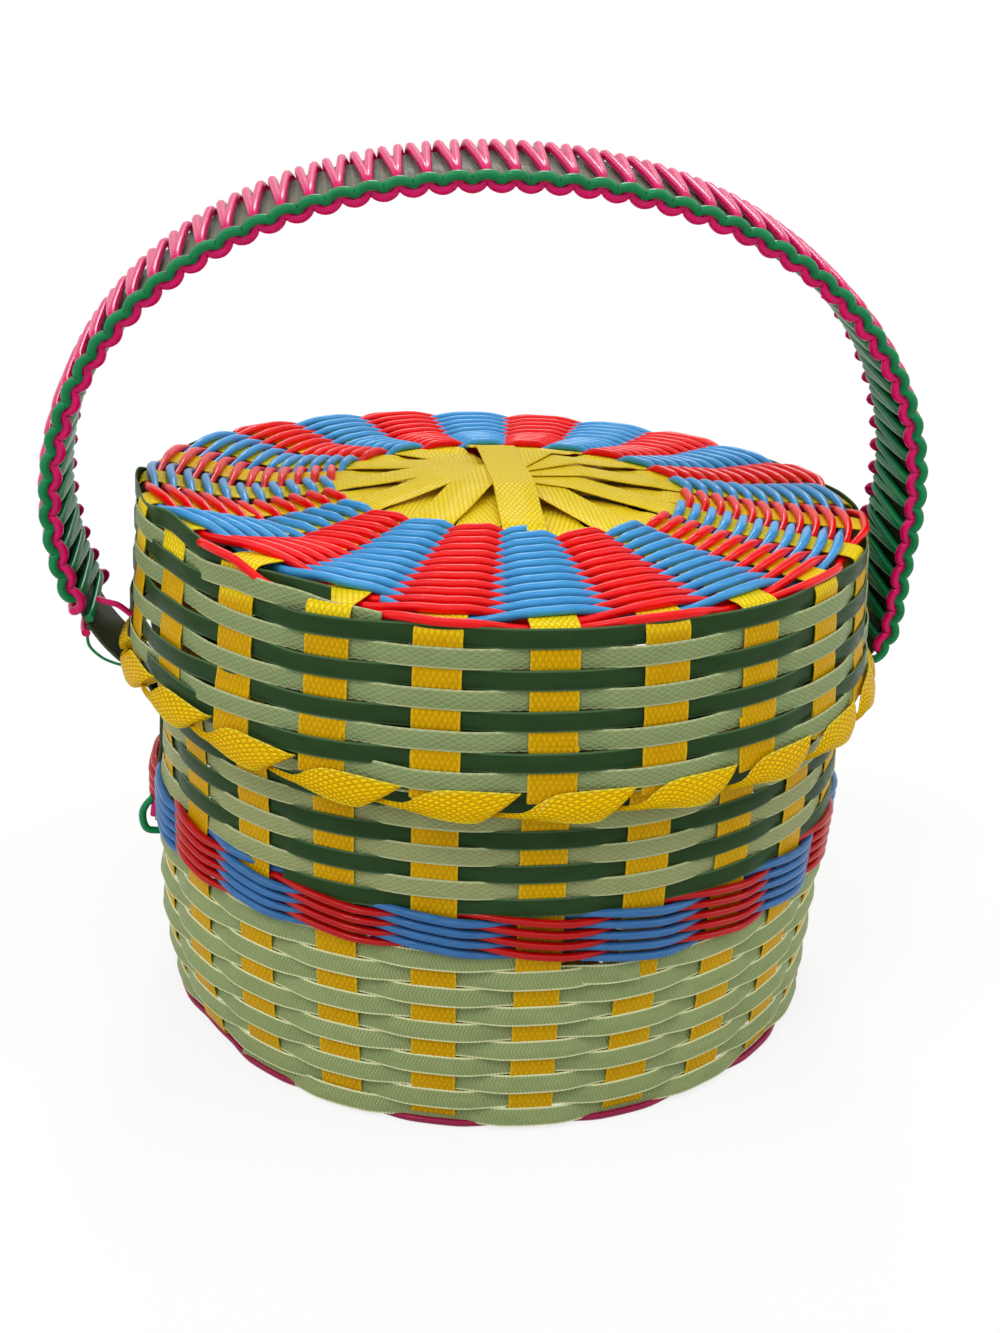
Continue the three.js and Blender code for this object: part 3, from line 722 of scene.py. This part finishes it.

# Colours of each strap: its own colour, a random tint, and the paler colour of its painted edge highlight.
yellow = strap_material(
    "yellow strap", ("E0B000", "CE9800", "FCD428"), STAKE_WIDTH, 0.4, 0.4, STAKE_PRESSING,
    # The lid's top, above 186 mm, is painted a paler lemon: a painted highlight where it faces the light
    # from above.
    upper=("FFE420", 186.0, 192.0))
sage = strap_material(
    "sage strap", ("8A9C66", "768654", "CCD4A0"), LID_WEAVER_WIDTH, 0.4, 0.7, SAGE_PRESSING)
upper_sage = strap_material(
    "upper sage strap", ("9CA46C", "88905A", "D4DCA8"), WEAVER_WIDTH, 0.4, 0.7, UPPER_SAGE_PRESSING)
lower_sage = strap_material(
    "lower sage strap", ("A0AE76", "86945C", "F0F4BC"), LOWER_WEAVER_WIDTH, 0.4, 0.9, LOWER_SAGE_PRESSING)
dark_green = strap_material(
    "dark green strap", ("2C4624", "1E3418", "64845A"), LID_WEAVER_WIDTH, 0.34, 0.5)
olive = strap_material(
    "olive strap", ("3A442C", "2C3622", "6A7458"), CORE_WIDTH, 0.36, 0.5, OLIVE_PRESSING,
    # The handle's strap is painted paler from 200 mm up: a painted sheen where it catches more light.
    upper=("8E9280", 200.0, 300.0))
lashing_yellow = strap_material(
    "lashing strap", ("FFD402", "FFC002", "FFEA3C"), LASHING_WIDTH, 0.34, 0.7, LASHING_PRESSING,
    depth=LASHING_DEPTH)
red = tube_material("red tube", "F80208", "DA0206", "FF1C20")
blue = tube_material("blue tube", "42A0DE", "2C86CC", "80C4F0")
# Darker copies of the red and blue tubes for the band: painted shade, where the band lies in shadow under
# the lid.
shaded_red = tube_material("shaded red tube", "BC0404", "9C0202", "E02018")
shaded_blue = tube_material("shaded blue tube", "3670AA", "28588E", "6CA4DC")
magenta = tube_material("magenta tube", "E00068", "B80052", "F4208C")
# Darker copy of the magenta tube for the foot: painted shade, where it lies low in shadow by the floor.
shaded_magenta = tube_material("shaded magenta tube", "9C0C44", "7C0832", "D03070")
green = tube_material("green tube", "06884E", "046C3C", "30B47C")


# Base
def make_base():
    for strap in range(STAKE_STRAPS):
        name = f"base_stake_{strap + 1:02d}"
        part = star_strap(strap, base_half_path, 0.13 * strap)
        add_mesh(f"woven_{name}", [part], yellow, "base", [name])

    upper = dict(pitch=UPPER_ROW_PITCH, width=WEAVER_WIDTH, wall=base_wall, settle=above_band)
    dark = weaver_part(UPPER_DARK_ENDS, BASE_DARK_ROW, over_even=True, seed=0.2, **upper)
    add_mesh("upper_dark_strap", [dark], dark_green, "base", ["upper_dark_weaver"])
    light_row = BASE_DARK_ROW - UPPER_ROW_PITCH
    light = weaver_part(UPPER_LIGHT_ENDS, light_row, over_even=False, seed=0.4, **upper)
    add_mesh("upper_light_strap", [light], upper_sage, "base", ["upper_light_weaver"])

    lower = dict(pitch=LOWER_ROW_PITCH, width=LOWER_WEAVER_WIDTH, wall=base_wall, settle=below_band,
                 tilt=LOWER_TILT, wave=LOWER_WAVE)
    first = weaver_part(LOWER_A_ENDS, LOWER_ROW, over_even=False, seed=0.1, **lower)
    add_mesh("lower_strap_a", [first], lower_sage, "base", ["lower_weaver_a"])
    second = weaver_part(LOWER_B_ENDS, LOWER_ROW - LOWER_ROW_PITCH, over_even=True, seed=0.7, **lower)
    add_mesh("lower_strap_b", [second], lower_sage, "base", ["lower_weaver_b"])


def pushed(z, held):
    """Row held at a height, and pushed outwards where that keeps it from its own height."""
    return held, HELD_ROW_PUSH * smooth(np.abs(held - z) / 2)


def above_band(place, z):
    lowest = np.where(place > 96, band_top(place) + WEAVER_WIDTH / 2 - 0.5, 0)
    return pushed(z, np.maximum(z, lowest))


def below_band(place, z):
    highest = np.where(place < 0, band_bottom(place) - LOWER_WEAVER_WIDTH / 2 + 0.3, BAND_BOTTOM)
    return pushed(z, np.clip(z, LOWEST_ROW, highest))


def band_line(place):
    wrapped = np.mod(place, STAKE_COUNT)
    lift = 2.2 * smooth(wrapped) * (1 - smooth((wrapped - 2) / 4)) * np.clip((place - 3) / 96, 0, 1)
    z = BAND_FIRST_ROW - BAND_ROW_PITCH * (place - 3) / STAKE_COUNT + lift
    from_leg = np.abs((place - 6 + 6) % 12 - 6)
    bulge = np.interp(place, [10, 26], [0.9, 2.0]) * smooth(1 - (from_leg - 0.44) / 0.4)
    tuck = 5.0 * smooth((BAND_START + 0.8 - place) / 0.7)
    radius = base_wall(z) + STAKE_LAY + bulge / 2 - tuck
    normal = out_from_axis(place)
    up = np.broadcast_to([0.0, 0.0, 1.0], normal.shape)
    return around(place, radius, z), normal, up, radius * STAKE_STEP, TWINE_LIFT + bulge / 2


def floor_line(place):
    radius = STAR_RADIUS + TWINE_MARGIN + FLOOR_TWINE_PITCH * place / STAKE_COUNT
    up = np.broadcast_to([0.0, 0.0, 1.0], (len(place), 3))
    return around(place, radius, FLOOR_PLANE), up, out_from_axis(place), radius * STAKE_STEP, TWINE_LIFT


def lid_line(place):
    places = [0, 2.3, 3, 4, 6, 9, 24]
    spreads = [0.98, 0.985, 1.0, 1.1, 1.12, 1.1, 0.98]
    spread = np.interp(np.mod(place, STAKE_COUNT), places, spreads)
    radius = STAR_RADIUS + TWINE_MARGIN + LID_TWINE_PITCH * place / STAKE_COUNT * spread
    z = lid_surface(place, radius)
    slope = (lid_surface(place, radius + 1) - z)[:, None]
    out = out_from_axis(place)
    side = unit(out + np.array([0, 0, 1.0]) * slope)
    normal = unit(np.array([0, 0, 1.0]) - out * slope)
    return around(place, radius, z), normal, side, radius * STAKE_STEP, TWINE_LIFT


def add_twining(name, node, body, first, last, surface, even, odd):
    """Two tubes that twine over the even and the odd stakes, each with its material, a slot name that
    nothing reads, and half width.
    """
    for parity, (over_even, (material, slot, reach)) in {"even": (True, even), "odd": (False, odd)}.items():
        part = twined_tubes(first, last - 0.4 * over_even, surface, over_even, 0.5 * over_even, reach)
        add_mesh(f"{name}_{parity}", [part], material, body, [node])


def make_twining():
    # The band takes the darker tube copies: painted shade.
    band_red, band_blue = (shaded_red, "red_tube", 1.4), (shaded_blue, "blue_tube", 1.6)
    wide_red, wide_blue = (red, "red_tube", TUBE_RADIUS), (blue, "blue_tube", TUBE_RADIUS + 0.1)
    add_twining("band_tubes", "band_twining", "base", BAND_START, BAND_END, band_line, band_red, band_blue)
    add_twining("floor_tubes", "floor_twining", "base", 0, FLOOR_TWINE_END, floor_line, wide_blue, wide_red)
    add_twining("lid_tubes", "lid_twining", "lid", 0, LID_TWINE_END, lid_line, wide_blue, wide_red)


def make_foot_tube():
    place = np.linspace(0, STAKE_COUNT, STAKE_COUNT * TWINE_STEPS, endpoint=False)
    foot = float(base_wall(FOOT_BEND_HEIGHT)) + STAKE_LAY
    side = weave_side(place, foot, over_even=False)
    points = around(place, foot - FOOT_TUBE_INSET + FOOT_TUBE_WAVE * side, FOOT_TUBE_HEIGHT)
    tube = tube_part(points, FOOT_TUBE_RADIUS, closed=True)
    # The foot's tube is the darker magenta copy: painted shade.
    add_mesh("foot_scallops", [tube], shaded_magenta, "base", ["foot_tube"])


HOOP_PLACES = np.linspace(0, STAKE_COUNT, STAKE_COUNT * HOOP_STEPS, endpoint=False)


def ring_part(profile, wall, rise=0.0):
    """Hoop with an outline of [distance from the stakes, height] points."""
    place = HOOP_PLACES
    normal = out_from_axis(place)
    up = np.broadcast_to([0.0, 0.0, 1.0], normal.shape)
    middle = float(np.mean([z for _, z in profile]))
    outline = np.array([[z - middle, float(wall(z)) - float(wall(middle)) + d] for d, z in profile])
    return swept(around(place, float(wall(middle)), middle + rise), up, normal, outline, closed=True)


def make_hoops():
    skin = STRAP_THICKNESS
    top, foot = BASE_RIM_HEIGHT, BASE_RIM_HEIGHT - RIM_FOLD_HEIGHT
    under, corner = top - 0.8, top - 0.3
    inner, outer = STAKE_LAY - RIM_FOLD_GAP, STAKE_LAY + RIM_FOLD_GAP
    fold = [
        [inner - skin, foot], [inner, foot], [inner, under], [outer, under], [outer, foot],
        [outer + skin, foot], [outer + skin, corner], [outer, top], [inner, top], [inner - skin, corner],
    ]
    add_mesh("rim_fold", [ring_part(fold, base_wall)], yellow, "base", ["base_rim_hoop"])

    low = LID_RIM_HEIGHT + LID_HOOP_RISE
    near, far = STAKE_LAY - 2 * skin, STAKE_LAY - skin
    flat = [[near, low], [far, low], [far, low + LID_HOOP_HEIGHT], [near, low + LID_HOOP_HEIGHT]]
    hoop = ring_part(flat, lid_wall, lid_foot_rise(HOOP_PLACES))
    add_mesh("lid_rim_strap", [hoop], dark_green, "lid", ["lid_rim_hoop"])


# Lid
def lid_tab(place):
    """End of a stake, folded up on the outside and tucked under the rows."""
    foot = LID_RIM_HEIGHT + float(lid_foot_rise(place)) + TAB_FOOT
    z = np.linspace(foot, foot + TAB_HEIGHT, 12)
    slant = TAB_SLANT * math.sin(2.7 * place + 0.6)
    shift = TAB_SHIFT * math.sin(1.9 * place)
    out = out_from_axis(place)
    side = np.array([-out[1], out[0], 0.0])
    lift = TAB_LIFT - TAB_TUCK * smooth((z - foot - TAB_HEIGHT + 3) / 3)
    points = around(place, lid_wall(z) + STAKE_LAY + lift, z) + side * (shift + slant * (z - foot))[:, None]
    across = np.broadcast_to(unit(side - np.array([0.0, 0.0, slant])), points.shape)
    return strap_part(points, across, STAKE_WIDTH, 0.19 * place)


def make_lid():
    for strap in range(STAKE_STRAPS):
        name = f"lid_stake_{strap + 1:02d}"
        part = star_strap(strap, lid_half_path, 0.17 * strap + 0.3)
        tabs = [lid_tab(place) for place in (strap, strap + STAKE_STRAPS)]
        add_mesh(f"woven_{name}", [part, *tabs], yellow, "lid", [name])
    rows = dict(pitch=LID_ROW_PITCH, width=LID_WEAVER_WIDTH, wall=lid_wall)
    dark = weaver_part(LID_DARK_ENDS, LID_DARK_ROW, over_even=True, seed=0.6, settle=under_edge, **rows)
    add_mesh("lid_dark_strap", [dark], dark_green, "lid", ["lid_dark_weaver"])
    light_row = LID_DARK_ROW - LID_ROW_PITCH
    light = weaver_part(LID_LIGHT_ENDS, light_row, over_even=False, seed=0.9, settle=under_corners, **rows)
    add_mesh("lid_light_strap", [light], sage, "lid", ["lid_light_weaver"])


def under_edge(place, z):
    """The dark strap lies over the corners of the even stakes and below those of the odd ones."""
    from_even = np.abs((place + 1) % 2 - 1)
    sunk = np.interp(place, [5.5, 7, 11, 13], [0, 4.5, 4.5, 0])
    highest = LID_TOP_HEIGHT + lid_edge_rise(place) + mix(1.2, -3.6, smooth(from_even)) - sunk
    z = np.maximum(z + lid_row_climb(place, z), over_lashing(place))
    return np.minimum(z, highest), over_tabs(place, z) - 3.0 * smooth((2.95 - place) / 0.3)


def under_corners(place, z):
    """The light strap stays below the corners of all the stakes."""
    z = np.maximum(z + lid_row_climb(place, z), over_lashing(place))
    below_edge = np.interp(place, [2.4, 3, 3.5, 4, 5, 6.5, 9], [3.2, 5.4, 8, 8.6, 7.4, 6, 3.2])
    highest = LID_TOP_HEIGHT + lid_edge_rise(place) - below_edge
    return np.minimum(z, highest), over_tabs(place, z) - 1.2 * smooth((2.5 - place) / 0.3)


def over_tabs(place, z):
    """How far the rows stand out where they lie over the tabs."""
    top = LID_RIM_HEIGHT + lid_foot_rise(place) + TAB_HEIGHT
    return ROWS_OVER_TABS * smooth((top + 4 - z) / 4)


def over_lashing(place):
    return LASHING_FOOT + lid_foot_rise(place) + LASHING_REACH


def make_edge_tube():
    """Tube woven round the top's edge. Its last end lies outside, past a stretch that dips out of sight."""
    place = np.linspace(8.6, STAKE_COUNT + 3.5, 20 * ROW_STEPS + 1)
    side = weave_side(place, 138, over_even=False)
    end = smooth((place - STAKE_COUNT - 2.7) / 0.5)
    hidden = np.interp(place - STAKE_COUNT, [1.5, 2.0, 2.7, 3.0], [0, 3, 3, 0])
    middle = LID_TOP_HEIGHT + lid_edge_rise(place) - EDGE_TUBE_DROP
    z = middle + EDGE_TUBE_RISE * side + 1.5 * end - hidden
    radius = LID_TWINING_RADIUS + EDGE_TUBE_OUT + EDGE_TUBE_WAVE * side + 2.5 * end
    tube = tube_part(around(place, radius, z), EDGE_TUBE_RADIUS)
    add_mesh("lid_edge_line", [tube], red, "lid", ["lid_edge_tube"])


# One turn of the lashing, from inside the rim on the left to inside it on the right. Each row has the place,
# height and reach of the strap's lower edge, and then of its upper edge.
LASHING_TURN = [
    [(0.70, 3.0, -9.0), (0.78, 8.0, -9.0)],
    [(0.60, 0.3, -5.5), (0.66, 1.2, -5.0)],
    [(0.42, 1.6, -1.2), (0.48, 2.4, -1.8)],
    [(0.20, 1.7, 0.6), (0.24, 3.0, -0.6)],
    [(0.03, 1.3, 1.6), (0.09, 6.4, -1.2)],
    [(-0.13, 0.5, 2.0), (-0.07, 8.9, -1.6)],
    [(-0.28, 0.0, 2.0), (-0.38, 9.3, -1.7)],
    [(-0.41, 0.2, 1.1), (-0.69, 9.0, -1.8)],
    [(-0.46, 1.0, -2.5), (-0.74, 8.2, -3.6)],
    [(-0.46, 2.0, -8.0), (-0.72, 7.0, -8.4)],
]


def make_lashing():
    keys = through(LASHING_TURN, 5)
    ribs = 7
    parts = []
    for place in range(STAKE_COUNT):
        wobble = LASHING_WOBBLE * math.sin(place * 2.3)
        low, high = keys[:, 0], keys[:, 1]
        share = np.linspace(0, 1, ribs)[None, :, None]
        sheet = mix(low[:, None], high[:, None], share)
        crown = LASHING_CROWN * np.sin(math.pi * share[..., 0])
        along = place + sheet[..., 0]
        from_leg = np.abs(np.mod(along, 12) - 6)
        radius = LASHING_RADIUS + sheet[..., 2] + crown - 1.5 * smooth(1 - from_leg / 0.8)
        points = around(along, radius, LASHING_FOOT + wobble + sheet[..., 1] + lid_foot_rise(along))
        parts.append(sheet_part(points, LASHING_THICKNESS, LASHING_WIDTH, place * 0.21))
    add_mesh("lid_lashing_strap", parts, lashing_yellow, "lid", ["lid_lashing"])


def sheet_part(points, thickness, width, seed):
    """Closed skin of a strap given as rows of points across it."""
    rows, ribs = points.shape[:2]
    along = np.gradient(points, axis=0)
    across = np.gradient(points, axis=1)
    normal = unit(np.cross(along, across))
    front, back = points + normal * thickness / 2, points - normal * thickness / 2
    loops = np.concatenate([front, back[:, ::-1]], axis=1)
    corners = 2 * ribs
    marks = np.zeros((rows, corners, 3))
    marks[..., 0] = lengths_along(points[:, ribs // 2])[:, None]
    spread = np.linspace(-width / 2, width / 2, ribs)
    marks[..., 1] = np.concatenate([spread, spread[::-1]])
    marks[..., 2] = seed
    return loops.reshape(-1, 3), skin_faces(rows, corners), marks.reshape(-1, 3)


# Handle
# The legs' distances from the middle and heights, from the tail under the band's tubes up to the waist
LEFT_LEG = [
    (137.0, 67.0), (136.6, 106.0), (136.4, 114.0), (138.2, 122.0), (142.8, 130.0),
    (149.8, 138.0), (155.4, 147.0), (161.2, 161.0), (165.8, 178.0), (167.8, 194.4),
]
RIGHT_LEG = [
    (137.0, 67.0), (137.0, 106.0), (138.2, 114.0), (142.4, 122.0), (147.8, 130.0),
    (152.8, 138.0), (155.8, 147.0), (156.4, 161.0), (156.5, 178.0), (157.0, 194.4),
]


def handle_curve():
    """Distance from the middle and height along the upright hoop, from the left tail to the right one."""
    angle = np.linspace(0, math.pi / 2, 70)
    power = 2 / HANDLE_ROUNDNESS
    rise = HANDLE_TOP_HEIGHT - HANDLE_WAIST_HEIGHT
    across = HANDLE_HALF_WIDTH * np.cos(angle) ** power
    up = HANDLE_WAIST_HEIGHT + rise * np.sin(angle) ** power
    halves = []
    for side, keys in ((-1, LEFT_LEG), (1, RIGHT_LEG)):
        leg = through(keys, 6)[:-1] * [side, 1]
        arc = np.stack([side * across - HANDLE_SWAY, up], axis=1)
        halves.append(np.concatenate([leg, arc]))
    left, right = halves
    return resampled(np.concatenate([left, right[-2::-1]]), 2.0)


def leaned(x, y, z):
    """The upright hoop's points, leaned forwards from its feet and rolled a little more towards its top."""
    lean = HANDLE_LEAN * smooth((z - LID_RIM_HEIGHT) / HANDLE_LEAN_RUN + 0.5)
    roll = lean + HANDLE_ROLL * smooth((z - HANDLE_WAIST_HEIGHT) / (HANDLE_TOP_HEIGHT - HANDLE_WAIST_HEIGHT))
    up = z - HANDLE_FOOT_HEIGHT
    depth = y * np.cos(roll) - up * np.sin(lean)
    height = HANDLE_FOOT_HEIGHT + up * np.cos(lean) + y * np.sin(roll)
    return np.stack([x, depth, height], axis=-1)


def make_core():
    curve = handle_curve()
    tangent = unit(np.gradient(curve, axis=0))
    normal = np.stack([-tangent[:, 1], tangent[:, 0]], axis=1)
    outline = strap_outline(CORE_WIDTH, CORE_THICKNESS)
    flat = curve[:, None] + outline[None, :, 1:] * normal[:, None]
    across = np.broadcast_to(outline[None, :, 0], flat.shape[:2])
    vertices = leaned(flat[..., 0], across, flat[..., 1])
    points = vertices.mean(axis=1)
    marks = np.zeros((*flat.shape[:2], 3))
    marks[..., 0] = lengths_along(points)[:, None]
    marks[..., 1] = across
    part = (vertices.reshape(-1, 3), skin_faces(*flat.shape[:2]), marks.reshape(-1, 3))
    add_mesh("handle_strap", [part], olive, "base", ["handle_core"])


# One loop of lacing, two pitches long: up over the strap, round its far edge, down again, and a bow along
# its near edge. Each key has the share of a pitch, the place across the strap, and the height over the
# laced face.
LACING_UP = [(0.00, -17.6, 2.0), (0.06, -10.0, 3.0), (0.17, 10.0, 3.2), (0.20, 17.0, 2.7)]
LACING_DOWN = [(0.64, 17.0, 2.7), (0.70, 10.0, 3.2), (0.92, -10.0, 3.0), (1.00, -17.6, 2.0)]
OUTER_TURN = [
    (0.23, 20.2, 0.8), (0.29, 22.0, -2.0), (0.42, 23.0, -3.2), (0.55, 22.0, -2.0), (0.61, 20.2, 0.8),
]
INNER_TURN = [(0.27, 18.4, 2.0), (0.42, 19.0, 1.4), (0.57, 18.4, 2.0)]
OUTER_BOW = [
    (1.05, -18.8, 0.0), (1.20, -19.6, -2.2), (1.50, -19.8, -3.2), (1.80, -19.6, -2.2), (1.95, -18.8, 0.0),
]
INNER_BOW = [
    (1.04, -19.2, 0.8), (1.16, -20.4, -0.8), (1.50, -20.8, -1.7), (1.84, -20.4, -0.8), (1.96, -19.2, 0.8),
]


def lacing_strand(outward, shift, strand):
    """One of the two tubes that lace a face of the handle's strap in turn."""
    curve = handle_curve()
    lengths = lengths_along(curve)
    tangent = unit(np.gradient(curve, axis=0))
    start = lengths[np.argmax(curve[:, 1] >= LACING_LEFT_HEIGHT)]
    end = lengths[-1] - lengths[np.argmax(curve[:, 1] >= LACING_RIGHT_HEIGHT)]
    pitch = (end - start) / (LACING_LOOPS + 1.5)
    turn_round, bow = (OUTER_TURN, OUTER_BOW) if outward > 0 else (INNER_TURN, INNER_BOW)
    loop = LACING_UP + turn_round + LACING_DOWN + bow
    keys = [(start + pitch * (turn + share + shift), across, over)
            for turn in range(strand, LACING_LOOPS, 2) for share, across, over in loop]
    track = through(keys, 3)
    x, z, tx, tz = (np.interp(track[:, 0], lengths, column) for column in (*curve.T, *tangent.T))
    room = 1.0
    if outward < 0:
        room = mix(LACING_TIGHT_ROOM, 1.0, smooth((z - LACING_RIGHT_HEIGHT) / LACING_TIGHT_RUN))
    over = track[:, 2] * outward * room
    return tube_part(leaned(x - tz * over, track[:, 1], z + tx * over), LACING_RADIUS, seed=0.5 * strand)


# Loose ends of the lacing tubes at the left leg: points and radius
LOOSE_GREEN_LOOP = ([
    (-158, -17, 150), (-158.9, -18, 146.8), (-158.6, -18, 142.1), (-154.6, -18, 137.5),
    (-149.2, -18, 134.9), (-143.9, -18, 133.6),
], 0.6)
LOOSE_PINK_STRAND = ([
    (-154, -17, 161), (-151.6, -18, 160.3), (-148.7, -18, 159.5), (-145.9, -18, 158.3), (-141, -18, 154),
], 1.2)
LOOSE_GREEN_END = ([
    (-136, -13, 61), (-140.4, -14, 62.1), (-142.2, -14, 64.9), (-142.6, -14, 69.4), (-141.3, -14, 72.9),
    (-138.4, -14, 76.5),
], 1.5)
LOOSE_PINK_END = ([(-138.1, -14, 68.4), (-137.6, -14, 72.8), (-136.4, -13, 77.2)], 1.6)


def loose_end(keys, radius):
    return tube_part(resampled(through(keys, 6), 0.8), radius)


def make_lacing():
    outer = [lacing_strand(1, 0.0, strand) for strand in (0, 1)]
    inner = [lacing_strand(-1, 0.5, strand) for strand in (0, 1)]
    outer += [loose_end(*LOOSE_PINK_STRAND), loose_end(*LOOSE_PINK_END)]
    inner += [loose_end(*LOOSE_GREEN_LOOP), loose_end(*LOOSE_GREEN_END)]
    add_mesh("handle_pink_lacing", outer, magenta, "base", ["handle_outer_lacing"])
    add_mesh("handle_green_lacing", inner, green, "base", ["handle_inner_lacing"])


# Stage: floor, light and camera
def seen_rays(nodes):
    """1 for the rays that show the background: from the camera, off gloss and through clear things."""
    rays = nodes.add("ShaderNodeLightPath")
    clear = nodes.math("MAXIMUM", rays.outputs["Is Glossy Ray"], rays.outputs["Is Transmission Ray"])
    return nodes.math("MAXIMUM", rays.outputs["Is Camera Ray"], clear)


def make_floor():
    mesh = bpy.data.meshes.new("floor")
    corners = [(FLOOR_REACH * x, FLOOR_REACH * y, 0) for x, y in ((-1, -1), (1, -1), (1, 1), (-1, 1))]
    mesh.from_pydata(corners, [], [(0, 1, 2, 3)])
    floor = bpy.data.objects.new("floor", mesh)
    bpy.context.scene.collection.objects.link(floor)
    material = bpy.data.materials.new("pale floor")
    material.use_nodes = True
    nodes = Nodes(material)
    nodes.tree.nodes.clear()
    diffuse = nodes.add("ShaderNodeBsdfDiffuse")
    seen = seen_rays(nodes)
    nodes.plug(nodes.ramp(seen, 0.0, 1.0, FLOOR_GREY, SEEN_FLOOR_GREY), diffuse.inputs["Color"])
    glow = nodes.add("ShaderNodeEmission")
    mixed = nodes.add("ShaderNodeMixShader")
    nodes.plug(nodes.math("MULTIPLY", seen, SEEN_FLOOR_GLOW), mixed.inputs[0])
    nodes.plug(diffuse.outputs[0], mixed.inputs[1])
    nodes.plug(glow.outputs[0], mixed.inputs[2])
    output = nodes.add("ShaderNodeOutputMaterial")
    nodes.plug(mixed.outputs[0], output.inputs[0])
    mesh.materials.append(material)


def make_world():
    world = bpy.data.worlds.new("world")
    bpy.context.scene.world = world
    world.use_nodes = True
    nodes = Nodes(world)
    background = world.node_tree.nodes["Background"]
    strength = nodes.ramp(seen_rays(nodes), 0.0, 1.0, WORLD_STRENGTH, SEEN_WORLD_STRENGTH)
    background.inputs["Color"].default_value = (1, 1, 1, 1)
    nodes.plug(strength, background.inputs["Strength"])


def add_sun(name, origin, strength, width):
    data = bpy.data.lights.new(name, "SUN")
    data.energy = strength
    data.angle = math.radians(width)
    lamp = bpy.data.objects.new(name, data)
    lamp.rotation_euler = (-Vector(origin)).to_track_quat("-Z", "Y").to_euler()
    bpy.context.scene.collection.objects.link(lamp)


def make_camera():
    data = bpy.data.cameras.new("camera")
    data.lens = CAMERA_LENS
    data.sensor_width = CAMERA_SENSOR
    data.sensor_fit = "HORIZONTAL"
    camera = bpy.data.objects.new("camera", data)
    forward = Vector(CAMERA_FORWARD)
    right = Vector(CAMERA_RIGHT)
    up = right.cross(forward)
    turn = Matrix((right, up, -forward)).transposed().to_4x4()
    camera.matrix_world = Matrix.Translation(Vector(CAMERA_PLACE)) @ turn
    bpy.context.scene.collection.objects.link(camera)
    bpy.context.scene.camera = camera


make_camera()
make_base()
make_twining()
make_foot_tube()
make_hoops()
make_lid()
make_edge_tube()
make_lashing()
make_core()
make_lacing()
make_floor()
make_world()
for sun_name, sun in SUNS.items():
    add_sun(sun_name, *sun)
bpy.context.scene.view_settings.view_transform = "Standard"
